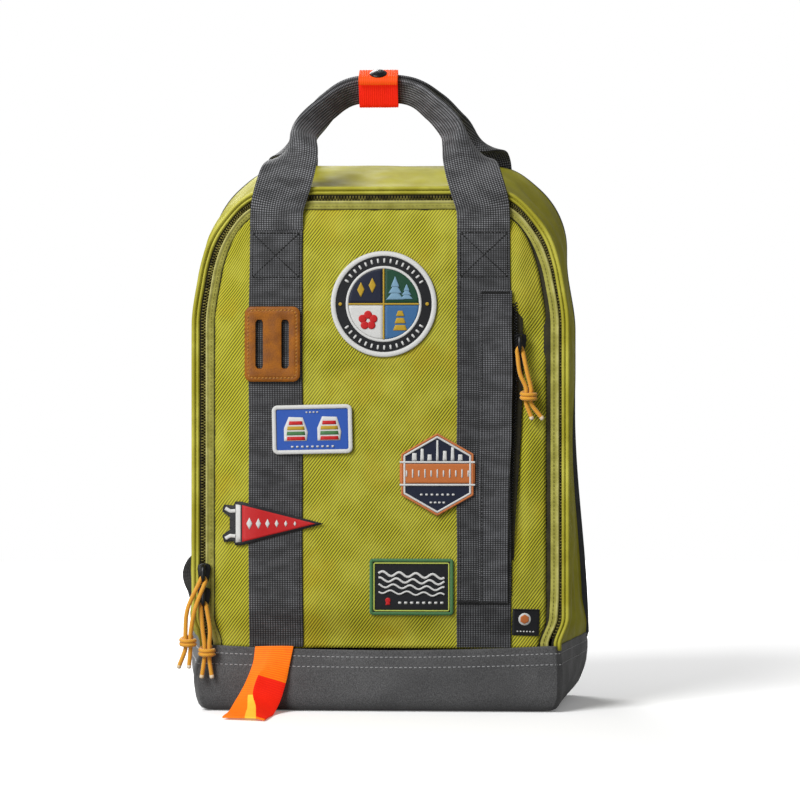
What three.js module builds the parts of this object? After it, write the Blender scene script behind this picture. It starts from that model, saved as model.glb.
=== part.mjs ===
// A school backpack: a padded back, a gusset, a coated base tub, and a front panel that zips open.
// Millimetres, +Z up, +X to the right seen from the front, and the front face towards -Y.
// The origin is on the floor, under the middle of the base.

import * as THREE from 'three';

// Body
const FRONT_Y = -62;
const BACK_Y = 64.3;
const BODY_HALF_WIDTH = 131;
const FRONT_TOP = 366;
const BACK_TOP = 392;
const CORNER_RADIUS = 62;
const WALL = 2.5;
const GAP = 0.3;
const BOOT_HEIGHT = 46;
const PANEL_FOOT = 48.3;
const TAPER_TOP = 66;

// The ring of flat strips between the front panel and the gusset, as insets from the gusset's edge
const PIPING_INSET = [-0.6, 1.9];
const GUSSET_TAPE_INSET = [2.2, 5];
const GUSSET_TEETH_INSET = [5.3, 6.7];
const PANEL_TEETH_INSET = [8.1, 9.5];
const PANEL_TAPE_INSET = [9.8, 14.2];
const PANEL_INSET = 14.5;

// Webbing
const WEB_WIDTH = 38;
const WEB_THICKNESS = 1.4;
const WEB_CENTRE = 73;
const HANDLE_FOOT = 342;
const GRIP_TILT = Math.PI / 6;
const GRIP_CENTRE = { y: -4, z: 441 };

// Small hardware
const SLIDER_LENGTH = 12;
const BADGE_THICKNESS = 1.6;
const CORD_RADIUS = 1.5;
const POCKET_ZIP_X = 98;

const COLOURS = {
  fabric: [0xafa12a, 0.85], tape: [0xa8a860, 0.9], teeth: [0x2a2a20, 0.5], webbing: [0x404143, 0.8],
  boot: [0x4c4c4c, 0.6], leather: [0x8a5304, 0.5], hardware: [0x101112, 0.3], cord: [0xf09620, 0.7],
  neon: [0xff5a14, 0.6], badge: [0xe8e4da, 0.8], label: [0x151515, 0.8], board: [0x303030, 0.9],
  mesh: [0x3a3b3d, 0.9], lining: [0x55565a, 0.9],
};

const bag = new THREE.Group();

function add(name, look, geometry, place = {}) {
  const [color, roughness] = COLOURS[look];
  const mesh = new THREE.Mesh(geometry, new THREE.MeshStandardMaterial({ color, roughness, metalness: 0 }));
  mesh.name = name;
  mesh.position.set(...(place.position ?? [0, 0, 0]));
  mesh.rotation.set(...(place.rotation ?? [0, 0, 0]));
  (place.parent ?? bag).add(mesh);
  return mesh;
}

// ---------- closed bodies from rings and grids of points ----------

function signedVolume(points, faces) {
  let volume = 0;
  for (const [a, b, c] of faces) {
    volume += points[a].dot(new THREE.Vector3().crossVectors(points[b], points[c])) / 6;
  }
  return volume;
}

function closedBody(points, faces) {
  const outward = signedVolume(points, faces) > 0 ? faces : faces.map(([a, b, c]) => [a, c, b]);
  const geometry = new THREE.BufferGeometry().setFromPoints(points);
  geometry.setIndex(outward.flat());
  geometry.computeVertexNormals();
  return geometry;
}

function ringSides(rings) {
  const count = rings[0].length;
  const faces = [];
  for (let ring = 0; ring + 1 < rings.length; ring++) {
    for (let i = 0; i < count; i++) {
      const [a, b] = [ring * count + i, ring * count + ((i + 1) % count)];
      faces.push([a, b, b + count], [a, b + count, a + count]);
    }
  }
  return faces;
}

// A body through rings of equal point counts, closed by a fan at each end.
function ringBody(rings) {
  const count = rings[0].length;
  const points = rings.flat();
  const faces = ringSides(rings);
  for (const [ring, flip] of [[0, true], [rings.length - 1, false]]) {
    const centre = rings[ring].reduce((sum, p) => sum.add(p), new THREE.Vector3()).divideScalar(count);
    points.push(centre);
    for (let i = 0; i < count; i++) {
      const [a, b] = [ring * count + i, ring * count + ((i + 1) % count)];
      faces.push(flip ? [points.length - 1, b, a] : [points.length - 1, a, b]);
    }
  }
  return closedBody(points, faces);
}

// A wall between an outer and an inner grid, each a list of rows of points, closed by quads at each end.
function wallBody(outer, inner) {
  const rings = outer.map((row, i) => [...row, ...[...inner[i]].reverse()]);
  const count = rings[0].length;
  const faces = ringSides(rings);
  for (const [start, flip] of [[0, true], [(rings.length - 1) * count, false]]) {
    for (let i = 0; i + 1 < count / 2; i++) {
      const [a, b, c, d] = [start + i, start + i + 1, start + count - 2 - i, start + count - 1 - i];
      faces.push(...(flip ? [[a, c, b], [a, d, c]] : [[a, b, c], [a, c, d]]));
    }
  }
  return closedBody(rings.flat(), faces);
}

// A flat plate: an outline in X and Z, between two depths.
function plate(outline, y0, y1, { holes = [], curveSegments = 3 } = {}) {
  const shape = outline instanceof THREE.Shape ? outline : new THREE.Shape(outline);
  shape.holes.push(...holes);
  const geometry = new THREE.ExtrudeGeometry(shape, { depth: y1 - y0, bevelEnabled: false, curveSegments });
  return geometry.rotateX(Math.PI / 2).translate(0, y1, 0);
}

function roundedRectangle(width, height, radius, x = 0, z = 0) {
  const [w, h] = [width / 2 - radius, height / 2 - radius];
  const shape = new THREE.Shape();
  shape.absarc(x + w, z - h, radius, -Math.PI / 2, 0);
  shape.absarc(x + w, z + h, radius, 0, Math.PI / 2);
  shape.absarc(x - w, z + h, radius, Math.PI / 2, Math.PI);
  shape.absarc(x - w, z - h, radius, Math.PI, 1.5 * Math.PI);
  return shape;
}

// A flat band along a curve, its wide face square to facing(t).
function band(stops, width, thickness, facing, steps) {
  const curve = new THREE.CatmullRomCurve3(stops.map((p) => new THREE.Vector3(...p)));
  const rings = [];
  for (let i = 0; i <= steps; i++) {
    const t = i / steps;
    const centre = curve.getPointAt(t);
    const along = curve.getTangentAt(t);
    const across = new THREE.Vector3().crossVectors(along, facing(t)).normalize();
    const normal = new THREE.Vector3().crossVectors(across, along).normalize();
    across.multiplyScalar(width(t) / 2);
    normal.multiplyScalar(thickness(t) / 2);
    rings.push([[1, 1], [-1, 1], [-1, -1], [1, -1]].map(([a, n]) =>
      centre.clone().addScaledVector(across, a).addScaledVector(normal, n)));
  }
  return ringBody(rings);
}

const facingBack = () => new THREE.Vector3(0, 1, 0);
const always = (value) => () => value;
const mirror = (stops) => stops.map(([x, ...rest]) => [-x, ...rest]);
const blend = (a, b, t) => a + (b - a) * THREE.MathUtils.clamp(t, 0, 1);
const smooth = (from, to, value) => THREE.MathUtils.smoothstep(value, from, to);

// ---------- the body's shared shape ----------

// How much wider than straight the body is at a depth and height: narrow in front and at the foot.
function widening(y, z) {
  const depth = (y - FRONT_Y) / (BACK_Y - FRONT_Y);
  const front = blend(0.955, 1, smooth(BOOT_HEIGHT, TAPER_TOP, z));
  const back = z < BOOT_HEIGHT ? blend(1.02, 1.13, z / BOOT_HEIGHT) : blend(1.13, 1.055, smooth(BOOT_HEIGHT, 210, z));
  return blend(front, back, depth);
}

// Widens a straight-sided geometry. A flat plate takes the width of one depth, so its edges stay square.
function widened(geometry, plateDepth) {
  const position = geometry.getAttribute('position');
  for (let i = 0; i < position.count; i++) {
    const depth = plateDepth ?? position.getY(i);
    position.setX(i, position.getX(i) * widening(depth, position.getZ(i)));
  }
  geometry.computeVertexNormals();
  return geometry;
}

function topAt(y) {
  return blend(FRONT_TOP, BACK_TOP, smooth(FRONT_Y, BACK_Y, y));
}

// The left leg, the top arch and the right leg of the body's outline at a depth, as lists of [x, z].
function outline(y, inset, foot = PANEL_FOOT, legSteps = 7, arcSteps = 7) {
  const [half, top, radius] = [BODY_HALF_WIDTH - inset, topAt(y) - inset, CORNER_RADIUS - inset];
  const leg = [[-half, foot], [-half, (foot + TAPER_TOP) / 2]];
  for (let i = 0; i <= legSteps; i++) {
    leg.push([-half, blend(TAPER_TOP, top - radius - GAP, i / legSteps)]);
  }
  const arc = [];
  for (let i = 0; i <= arcSteps; i++) {
    const angle = Math.PI - (i / arcSteps) * (Math.PI / 2);
    arc.push([-half + radius + radius * Math.cos(angle), top - radius + radius * Math.sin(angle)]);
  }
  const flip = (points) => [...points].reverse().map(([x, z]) => [-x, z]);
  return { left: leg, arch: [...arc, ...flip(arc)], right: flip(leg) };
}

// The pair of points at the front and back of a flat piece, for each point of a line in X and Z.
function edgeRows(line, y0, y1) {
  return line.map(([x, z]) => [new THREE.Vector3(x, y0, z), new THREE.Vector3(x, y1, z)]);
}

// A flat strip that follows the outline between two insets, open at the foot.
function archStrip(insets, y0, y1) {
  const [outer, inner] = insets.map((inset) => {
    const { left, arch, right } = outline(FRONT_Y, inset);
    return edgeRows([...left, ...arch.slice(1, -1), ...right], y0, y1);
  });
  return widened(wallBody(outer, inner), FRONT_Y);
}

// A flat plate that fills the outline of a depth, in strips from the left edge to the right.
function archPlate(depth, inset, foot, y0, y1) {
  const { left, arch } = outline(depth, inset, foot);
  const edge = [...left, ...arch.slice(1, arch.length / 2)];
  return widened(wallBody(edgeRows(edge, y0, y1), edgeRows(mirror(edge), y0, y1)), depth);
}

// ---------- bag body ----------

function gussetPart(part) {
  const [outer, inner] = [0, WALL].map((inset) => {
    const rows = [];
    for (let i = 0; i <= 6; i++) {
      const y = blend(FRONT_Y + 4, BACK_Y - 3.3, i / 6);
      rows.push(outline(y, inset, BOOT_HEIGHT + GAP)[part].map(([x, z]) => new THREE.Vector3(x, y, z)));
    }
    return rows;
  });
  return widened(wallBody(outer, inner));
}

function addGusset() {
  add('gusset_left', 'fabric', gussetPart('left'));
  add('gusset_top', 'fabric', gussetPart('arch'));
  add('gusset_right', 'fabric', gussetPart('right'));
  add('gusset_piping', 'fabric', archStrip(PIPING_INSET, FRONT_Y, FRONT_Y + 3.6));
  add('gusset_zip_tape', 'tape', archStrip(GUSSET_TAPE_INSET, FRONT_Y + 0.4, FRONT_Y + 1.4));
  add('gusset_zip_teeth', 'teeth', archStrip(GUSSET_TEETH_INSET, FRONT_Y, FRONT_Y + 2));
}

function addBack() {
  add('back_panel', 'mesh', archPlate(BACK_Y, 0, BOOT_HEIGHT + GAP, BACK_Y - 3, BACK_Y));
  const padFace = BACK_Y + GAP;
  for (const [name, side] of [['back_pad_left', -1], ['back_pad_right', 1]]) {
    add(name, 'mesh', plate(roundedRectangle(88, 250, 18, side * 56, 198), padFace, padFace + 7));
  }
  add('strap_yoke', 'fabric', plate(roundedRectangle(148, 34, 4, 0, 348), padFace, padFace + 2.4));
  for (const [name, side] of [['rear_webbing_left', -1], ['rear_webbing_right', 1]]) {
    const patch = roundedRectangle(WEB_WIDTH, 20, 0.5, side * WEB_CENTRE, 379);
    add(name, 'webbing', plate(patch, padFace, padFace + WEB_THICKNESS));
  }
  add('laptop_sleeve', 'lining', plate(roundedRectangle(236, 240, 14, 0, 172), 47, 49));
}

// One ring of the base tub: a rounded rectangle seen from above, stepped in by inset.
function bootRing(z, inset) {
  const radius = 20 - inset / 2;
  const [half, front, back] = [BODY_HALF_WIDTH - inset, FRONT_Y - 2 + inset, BACK_Y - inset];
  const corners = [[half, front, -90], [half, back, 0], [-half, back, 90], [-half, front, 180]];
  return corners.flatMap(([x, y, start]) => {
    const [cx, cy] = [x - Math.sign(x) * radius, y + (y < 0 ? radius : -radius)];
    return [0, 22.5, 45, 67.5, 90].map((turn) => {
      const angle = THREE.MathUtils.degToRad(start + turn);
      const [px, py] = [cx + radius * Math.cos(angle), cy + radius * Math.sin(angle)];
      return new THREE.Vector3(px * widening(py, z), py, z);
    });
  });
}

function addBase() {
  const outside = [[0, 7], [2, 3], [7, 0.5], [22, 0], [BOOT_HEIGHT, 0]];
  const inside = [[BOOT_HEIGHT, WALL], [22, WALL], [7, WALL + 1], [3, 9]];
  add('base_boot', 'boot', ringBody([...outside, ...inside].map(([z, inset]) => bootRing(z, inset))));
  add('base_board', 'board', new THREE.BoxGeometry(216, 100, 3).translate(0, 0, 5));
}

// ---------- shoulder straps ----------

const STRAP_STOPS = [
  [40, 73.5, 352], [46, 88, 322], [58, 98, 280], [74, 98, 235], [88, 91, 195], [97, 84, 168],
];
const LOWER_STOPS = [[106, 79.5, 131], [114, 83, 115], [131, 86, 100], [144, 82, 89], [140, 74, 76]];
const TAIL_STOPS = [[101.5, 87, 152], [104, 93, 130], [105, 94, 105], [105, 93, 80]];
const LOCK_TURN = 0.3;

function ladderLock() {
  const frame = roundedRectangle(34, 26, 3);
  const slots = [6.2, -6.2].map((z) => roundedRectangle(26.5, 5.5, 1, 0, z));
  return plate(frame, -2.2, 2.2, { holes: slots });
}

function addStrap(name, side) {
  const turn = side > 0 ? (stops) => stops : mirror;
  const strapWidth = (t) => blend(60, 44, (t - 0.3) / 0.7) - 8 * (1 - smooth(0, 0.25, t));
  add(`shoulder_strap_${name}`, 'webbing', band(turn(STRAP_STOPS), strapWidth, always(10), facingBack, 12));
  const lock = { position: [side * 101.5, 81, 149], rotation: [0, side * -LOCK_TURN, 0] };
  add(`ladder_lock_${name}`, 'hardware', ladderLock(), lock);
  const lower = band(turn(LOWER_STOPS), always(25), always(WEB_THICKNESS), facingBack, 10);
  add(`lower_webbing_${name}`, 'webbing', lower);
  const tail = band(turn(TAIL_STOPS), always(25), always(WEB_THICKNESS), facingBack, 6);
  add(`strap_tail_${name}`, 'webbing', tail);
  const tab = roundedRectangle(30, 22, 2, side * 131, 62);
  add(`anchor_tab_${name}`, 'webbing', plate(tab, BACK_Y + GAP, BACK_Y + GAP + 2));
}

// ---------- front panel ----------

function webbingStrip(side) {
  const height = HANDLE_FOOT - 3 - PANEL_FOOT;
  const strip = roundedRectangle(WEB_WIDTH, height, 0.3, side * WEB_CENTRE, PANEL_FOOT + height / 2);
  return plate(strip, FRONT_Y - GAP - WEB_THICKNESS, FRONT_Y - GAP);
}

function addFrontPanel() {
  add('front_panel', 'fabric', archPlate(FRONT_Y, PANEL_INSET, PANEL_FOOT, FRONT_Y, FRONT_Y + 3));
  add('panel_zip_tape', 'tape', archStrip(PANEL_TAPE_INSET, FRONT_Y + 0.4, FRONT_Y + 1.4));
  add('panel_zip_teeth', 'teeth', archStrip(PANEL_TEETH_INSET, FRONT_Y, FRONT_Y + 2));
  add('front_webbing_left', 'webbing', webbingStrip(-1));
  add('front_webbing_right', 'webbing', webbingStrip(1));
  const pocketZip = roundedRectangle(8, 212, 1, POCKET_ZIP_X, 184);
  add('pocket_zip', 'teeth', plate(pocketZip, FRONT_Y - GAP - 1.2, FRONT_Y - GAP));
  const pocketBag = roundedRectangle(168, 226, 8, 12, 182);
  add('front_pocket_bag', 'lining', plate(pocketBag, FRONT_Y + 3 + GAP, FRONT_Y + 4.8));
  const slots = [-9, 9].map((x) => roundedRectangle(5.2, 34, 2.5, x, 0));
  const tabFace = FRONT_Y - 2 * GAP - WEB_THICKNESS;
  const tab = plate(roundedRectangle(39, 52.5, 3), tabFace - 2.4, tabFace, { holes: slots });
  add('lash_tab', 'leather', tab, { position: [-WEB_CENTRE - 2, 0, 257] });
}

function pennant() {
  const [length, height, notch] = [73, 31, 6];
  return new THREE.Shape([
    new THREE.Vector2(-length / 2, -height / 2), new THREE.Vector2(-length / 2, height / 2 - 2),
    new THREE.Vector2(-length / 2 + notch, height / 2), new THREE.Vector2(length / 2, 0),
    new THREE.Vector2(length / 2, -3), new THREE.Vector2(-length / 2 + notch, -height / 2),
  ]);
}

function hexagon(width, height) {
  const half = width / 2;
  const shoulder = height / 4;
  return new THREE.Shape([
    [0, -height / 2], [half, -shoulder], [half, shoulder],
    [0, height / 2], [-half, shoulder], [-half, -shoulder],
  ].map(([x, z]) => new THREE.Vector2(x, z)));
}

function addBadges() {
  const onPanel = FRONT_Y - GAP;
  const onWebbing = onPanel - WEB_THICKNESS - GAP;
  const round = new THREE.Shape().absarc(0, 0, 37.5, 0, 2 * Math.PI);
  const badges = [
    ['badge_round', round, [3, 285], onPanel, 0],
    ['badge_blue', roundedRectangle(56, 34, 3), [-47, 197.5], onWebbing, 0.02],
    ['badge_pennant', pennant(), [-75, 131.5], onWebbing, 0],
    ['badge_hexagon', hexagon(54, 57), [40.5, 166], onWebbing, 0],
    ['badge_green', roundedRectangle(58, 39.5, 1), [22.4, 87.5], onPanel, 0],
  ];
  for (const [name, shape, [x, z], face, turn] of badges) {
    const rotation = [0, turn, 0];
    const patch = plate(shape, face - BADGE_THICKNESS, face, { curveSegments: name === 'badge_round' ? 20 : 3 });
    add(name, 'badge', patch, { position: [x, 0, z], rotation });
  }
  const label = plate(roundedRectangle(19, 19, 0.5), onPanel - 0.6, onPanel);
  add('woven_label', 'label', label, { position: [102, 0, 62.7] });
}

// ---------- zip sliders and their cord pulls ----------

// Seen along the zip: a top plate, a web between the tooth rows, a flange behind the panel's row, a crown.
function mainSlider() {
  return extrudedAlongZ([
    [-5, -0.3], [-0.4, -0.3], [-0.4, 3], [5, 3], [5, 2.3], [0.4, 2.3], [0.4, -0.3],
    [5, -0.3], [5, -1.6], [1.4, -1.6], [1.4, -4], [-1.4, -4], [-1.4, -1.6], [-5, -1.6],
  ]);
}

function pocketSlider() {
  return extrudedAlongZ([[-3.5, 0], [3.5, 0], [3.5, -1.2], [1.3, -1.2], [1.3, -3.6], [-1.3, -3.6], [-1.3, -1.2],
    [-3.5, -1.2]]);
}

function extrudedAlongZ(section) {
  const shape = new THREE.Shape(section.map(([x, y]) => new THREE.Vector2(x, y)));
  const geometry = new THREE.ExtrudeGeometry(shape, { depth: SLIDER_LENGTH, bevelEnabled: false });
  return geometry.translate(0, 0, -SLIDER_LENGTH / 2);
}

function cordTube(stops) {
  const section = new THREE.Shape();
  for (let i = 0; i < 8; i++) {
    const angle = (i / 8) * 2 * Math.PI;
    const point = [CORD_RADIUS * Math.cos(angle), CORD_RADIUS * Math.sin(angle)];
    if (i === 0) section.moveTo(...point);
    else section.lineTo(...point);
  }
  const path = new THREE.CatmullRomCurve3(stops.map((p) => new THREE.Vector3(...p)));
  return new THREE.ExtrudeGeometry(section, { steps: 16, extrudePath: path });
}

// The knot is a collar round both strands.
function knot() {
  const profile = [[4, -3], [4.8, -3], [5.8, 0], [4.8, 3], [4, 3], [4, -3]];
  return new THREE.LatheGeometry(profile.map(([r, z]) => new THREE.Vector2(r, z)), 12).rotateX(Math.PI / 2);
}

// Each pull hangs from its slider's crown: a slack stretch, a knot, then two loose tails.
const PULLS = {
  upper_pull: { crown: [-124, -69, 91], slack: [-131.5, -73, 72], knot: [-134, -72.5, 49], tail: [-137, -71.5, 31] },
  lower_pull: { crown: [-123.4, -69, 73], slack: [-121.5, -69.5, 58], knot: [-121, -70, 42], tail: [-121, -70, 24] },
  pocket_pull: { crown: [98, -69, 252], slack: [100.5, -70, 237], knot: [104, -70, 221], tail: [110, -70, 205] },
};

function pullStops({ crown, slack, knot: waist, tail }, side) {
  const spread = [2, 2.6, 1.75, 1.75, 3.6];
  const [above, below] = [5, -5].map((rise) => [waist[0], waist[1], waist[2] + rise]);
  return [crown, slack, above, below, tail].map(([x, y, z], i) => [x + side * spread[i], y, z]);
}

function addPulls() {
  for (const [name, stops] of Object.entries(PULLS)) {
    add(`${name}_cord_a`, 'cord', cordTube(pullStops(stops, -1)));
    add(`${name}_cord_b`, 'cord', cordTube(pullStops(stops, 1)));
    add(`${name}_knot`, 'cord', knot(), { position: stops.knot });
  }
}

function addSliders() {
  const zipX = -(BODY_HALF_WIDTH - (PANEL_TEETH_INSET[0] + GUSSET_TEETH_INSET[1]) / 2);
  add('main_slider_upper', 'hardware', mainSlider(), { position: [zipX, FRONT_Y, 97] });
  add('main_slider_lower', 'hardware', mainSlider(), { position: [zipX, FRONT_Y, 80] });
  const pocketFace = FRONT_Y - 2 * GAP - 1.2;
  add('pocket_slider', 'hardware', pocketSlider(), { position: [POCKET_ZIP_X, pocketFace, 258] });
}

// ---------- handles, keeper and ribbon ----------

// Where a grip lies, offset across the keeper.
function gripPoint(x, offset) {
  return [x, GRIP_CENTRE.y + offset * Math.cos(GRIP_TILT), GRIP_CENTRE.z + offset * Math.sin(GRIP_TILT)];
}

// The left halves of the handles: up from the foot, leaning in to the grip.
const FRONT_LEG = [
  [-WEB_CENTRE, -63.4, HANDLE_FOOT], [-72, -64.5, 354], [-66.5, -65.5, 371], [-60, -60, 386],
  [-55.5, -50, 400], [-47, -36, 415], [-35, -20, 430], gripPoint(-18, -2.8),
];
const REAR_LEG = [
  [-WEB_CENTRE, 60, 395], [-73, 57.5, 401], [-63, 46, 413], [-50, 31, 423], [-36, 16, 435], gripPoint(-18, 2.8),
];

function handle(leg, offset) {
  const inGrip = (t) => smooth(0.12, 0.42, 0.5 - Math.abs(t - 0.5));
  const facing = (t) => new THREE.Vector3(0, Math.cos(GRIP_TILT * inGrip(t)), Math.sin(GRIP_TILT * inGrip(t)));
  const width = (t) => blend(WEB_WIDTH, 16.4, inGrip(t));
  const thickness = (t) => blend(WEB_THICKNESS, 3.4, inGrip(t));
  const stops = [...leg, gripPoint(0, offset), ...mirror(leg).reverse()];
  return band(stops, width, thickness, facing, 28);
}

function addHandles() {
  add('front_handle', 'webbing', handle(FRONT_LEG, -2.8));
  add('rear_handle', 'webbing', handle(REAR_LEG, 2.8));
}

// The keeper wraps both grips: a band open on top with a lip, and a flap that snaps down over the lip.
function addKeeper() {
  const keeper = new THREE.Group();
  keeper.position.set(0, GRIP_CENTRE.y, GRIP_CENTRE.z);
  keeper.rotation.x = GRIP_TILT;
  bag.add(keeper);
  const alongX = (section, length) => {
    const shape = new THREE.Shape(section.map(([y, z]) => new THREE.Vector2(y, z)));
    const geometry = new THREE.ExtrudeGeometry(shape, { depth: length, bevelEnabled: false });
    return geometry.rotateX(Math.PI / 2).rotateZ(Math.PI / 2).translate(-length / 2, 0, 0);
  };
  const wrap = [
    [6.6, 10.5], [6.6, -10.6], [-6.6, -10.6], [-6.6, 10.6], [3.5, 10.6], [3.5, 9.4], [-5.2, 9.4], [-5.2, -9.2],
    [5.2, -9.2], [5.2, 10.5],
  ];
  add('keeper_band', 'neon', alongX(wrap, 28), { parent: keeper });
  add('snap_socket', 'hardware', new THREE.CylinderGeometry(4, 4, 1.1, 16), {
    parent: keeper, position: [0, -1.4, 11.5], rotation: [Math.PI / 2, 0, 0],
  });
  const flap = [[6.6, 12.4], [-8.4, 12.4], [-8.4, 13.6], [6.6, 13.6]];
  add('keeper_flap', 'neon', alongX(flap, 27.5), { parent: keeper });
  const dome = [[0, 0], [5.6, 0], [6, 0.6], [5.2, 1.6], [3, 2.1], [0, 2.2]];
  add('snap_cap', 'hardware', new THREE.LatheGeometry(dome.map(([r, z]) => new THREE.Vector2(r, z)), 20), {
    parent: keeper, position: [0, -1.4, 13.9], rotation: [Math.PI / 2, 0, 0],
  });
}

// The ribbon tab falls from the seam above the tub and lies forward on the floor.
function addRibbon() {
  const stops = [
    [-74, -65.4, 45], [-76, -67.5, 34], [-79, -70, 20], [-82.5, -77, 6.5], [-87, -91, 1.6], [-97, -126, 1.2],
  ];
  const facing = (t) => {
    const lying = smooth(0.25, 0.6, t) * Math.PI / 2;
    return new THREE.Vector3(0, Math.cos(lying), -Math.sin(lying));
  };
  add('ribbon_tab', 'neon', band(stops, always(27), always(1.2), facing, 12));
}

addGusset();
addBack();
addBase();
addStrap('left', -1);
addStrap('right', 1);
addFrontPanel();
addBadges();
addSliders();
addPulls();
addHandles();
addKeeper();
addRibbon();

export default bag;
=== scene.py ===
"""The looks of a school backpack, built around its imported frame.

Shapes are worked out in millimetres and turned into metres when a mesh or curve is made. The front faces -Y.
"""
import math

import bpy
import numpy as np
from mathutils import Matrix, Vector, noise
from mathutils.bvhtree import BVHTree


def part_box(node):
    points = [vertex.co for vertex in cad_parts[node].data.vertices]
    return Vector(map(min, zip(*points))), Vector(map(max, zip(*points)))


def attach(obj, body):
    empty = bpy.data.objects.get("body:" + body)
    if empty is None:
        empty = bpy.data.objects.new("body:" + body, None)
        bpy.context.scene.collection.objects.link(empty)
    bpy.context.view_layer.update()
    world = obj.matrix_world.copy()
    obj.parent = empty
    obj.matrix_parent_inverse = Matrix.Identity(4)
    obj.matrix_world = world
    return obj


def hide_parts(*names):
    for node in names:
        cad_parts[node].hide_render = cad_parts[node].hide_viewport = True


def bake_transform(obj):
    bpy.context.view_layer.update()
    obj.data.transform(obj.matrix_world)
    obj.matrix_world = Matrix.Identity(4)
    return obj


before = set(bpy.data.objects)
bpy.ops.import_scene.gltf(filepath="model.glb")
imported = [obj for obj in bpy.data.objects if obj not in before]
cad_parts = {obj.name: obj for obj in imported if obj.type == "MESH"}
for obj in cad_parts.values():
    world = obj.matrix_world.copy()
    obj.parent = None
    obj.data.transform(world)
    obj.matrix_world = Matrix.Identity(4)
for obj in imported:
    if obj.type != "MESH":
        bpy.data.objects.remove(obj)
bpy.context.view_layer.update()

MM = 0.001


def node_box(node):
    """A CAD node's lowest and highest corner in millimetres."""
    low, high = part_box(node)
    return low / MM, high / MM


# Sizes shared with the frame
FRONT_Y = node_box("front_panel")[0].y
BACK_Y = node_box("back_panel")[1].y
PANEL_FOOT = node_box("front_panel")[0].z
PANEL_HALF = node_box("front_panel")[1].x
PANEL_TOP = node_box("front_panel")[1].z
BOOT_HEIGHT = node_box("base_boot")[1].z
BODY_HALF = node_box("gusset_piping")[1].x - 0.6
FRONT_TOP = PANEL_TOP + BODY_HALF - PANEL_HALF
BACK_TOP = node_box("back_panel")[1].z
CORNER_RADIUS = 62
TAPER_TOP = 66
WEB_CENTRE = 73
WEB_WIDTH = 38
HANDLE_FOOT = 339
GRIP_TILT = math.pi / 6
GRIP_CENTRE = Vector((0, -4, 441))
CORD_DIAMETER = 3

# Sizes that only the looks have
GRIP_LEAN = 2.5
KEEPER_SHIFT = 4
SHOULDER_DRAW = 6.2
AIR_FRAMES = 20
COIL_PITCH = 2.1
FLOOR_RADIUS = 1.9 / MM
FORWARD, BACKWARD = Vector((0, -1, 0)), Vector((0, 1, 0))


# ---------- small maths ----------

def smooth(low, high, value):
    t = min(max((value - low) / (high - low), 0.0), 1.0)
    return t * t * (3 - 2 * t)


def blend(a, b, t):
    return a + (b - a) * min(max(t, 0.0), 1.0)


def bell(value, centre, width):
    return math.exp(-(((value - centre) / width) ** 2))


def ripple(x, y, z, size, seed=0.0):
    """Smooth noise between about -1 and 1, whose bumps are about size across."""
    return noise.noise(Vector((x, y, z)) / size + Vector((seed, seed * 1.7, seed * 0.6))) * 1.6


def smooth_line(stops, steps):
    """Points evenly spaced along a Catmull-Rom line through stops."""
    stops = [Vector(p) for p in stops]
    ends = [stops[0] * 2 - stops[1], *stops, stops[-1] * 2 - stops[-2]]
    dense = []
    for before, a, b, after in zip(ends, ends[1:], ends[2:], ends[3:]):
        for i in range(16):
            t = i / 16
            dense.append(0.5 * (2 * a + (b - before) * t + (2 * before - 5 * a + 4 * b - after) * t * t
                                + (3 * a - before - 3 * b + after) * t ** 3))
    return even_points([*dense, stops[-1]], steps)


def even_points(line, steps):
    """steps + 1 points evenly spaced along a line of many points."""
    line = np.array([tuple(p) for p in line], float)
    reach = np.concatenate([[0], np.cumsum(np.linalg.norm(np.diff(line, axis=0), axis=1))])
    wanted = np.linspace(0, reach[-1], steps + 1)
    return [Vector(p) for p in np.stack([np.interp(wanted, reach, line[:, k]) for k in range(3)], axis=1)]


def line_length(points):
    return sum((b - a).length for a, b in zip(points, points[1:]))


def heading(line, i):
    """The direction of a line at its point i."""
    return (line[min(i + 1, len(line) - 1)] - line[max(i - 1, 0)]).normalized()


def straight(a, b, steps, spot):
    """The points spot(x, z) at even steps along the straight line from a to b."""
    return [spot(blend(a[0], b[0], i / steps), blend(a[1], b[1], i / steps)) for i in range(steps + 1)]


def lattice(rows, columns, point):
    """Rows of points point(t, u), with t from 0 to 1 over the rows and u from 0 to 1 along each."""
    return [[point(r / rows, c / columns) for c in range(columns + 1)] for r in range(rows + 1)]


# ---------- the bag's shared shape ----------

def widening(y, z):
    """How much wider than straight the bag is at a depth and height."""
    depth = (y - FRONT_Y) / (BACK_Y - FRONT_Y)
    front = blend(0.955, 1, smooth(BOOT_HEIGHT, TAPER_TOP, z))
    low, high = blend(1.02, 1.13, z / BOOT_HEIGHT), blend(1.13, 1.055, smooth(BOOT_HEIGHT, 210, z))
    return front + ((low if z < BOOT_HEIGHT else high) - front) * depth


def rim(share, inset, y, foot=PANEL_FOOT):
    """A point of the arch outline at a share of its length from the left foot, and its outward direction."""
    top = blend(FRONT_TOP, BACK_TOP, smooth(FRONT_Y, BACK_Y, y))
    leg = top - CORNER_RADIUS - foot
    arc = CORNER_RADIUS * math.pi / 2
    half_flat = BODY_HALF - CORNER_RADIUS
    side = -1 if share <= 0.5 else 1
    along = (leg + arc + half_flat) * (1 - abs(2 * share - 1))
    angle = min(max((along - leg) / CORNER_RADIUS, 0), math.pi / 2)
    out_x, out_z = side * math.cos(angle), math.sin(angle)
    x = side * (half_flat - max(along - leg - arc, 0)) + (CORNER_RADIUS - inset) * out_x
    z = foot + min(along, leg) + (CORNER_RADIUS - inset) * out_z
    if along < leg:
        x, z = side * (BODY_HALF - inset), foot + along
    return x * widening(y, z), z, Vector((out_x, 0, out_z))


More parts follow.
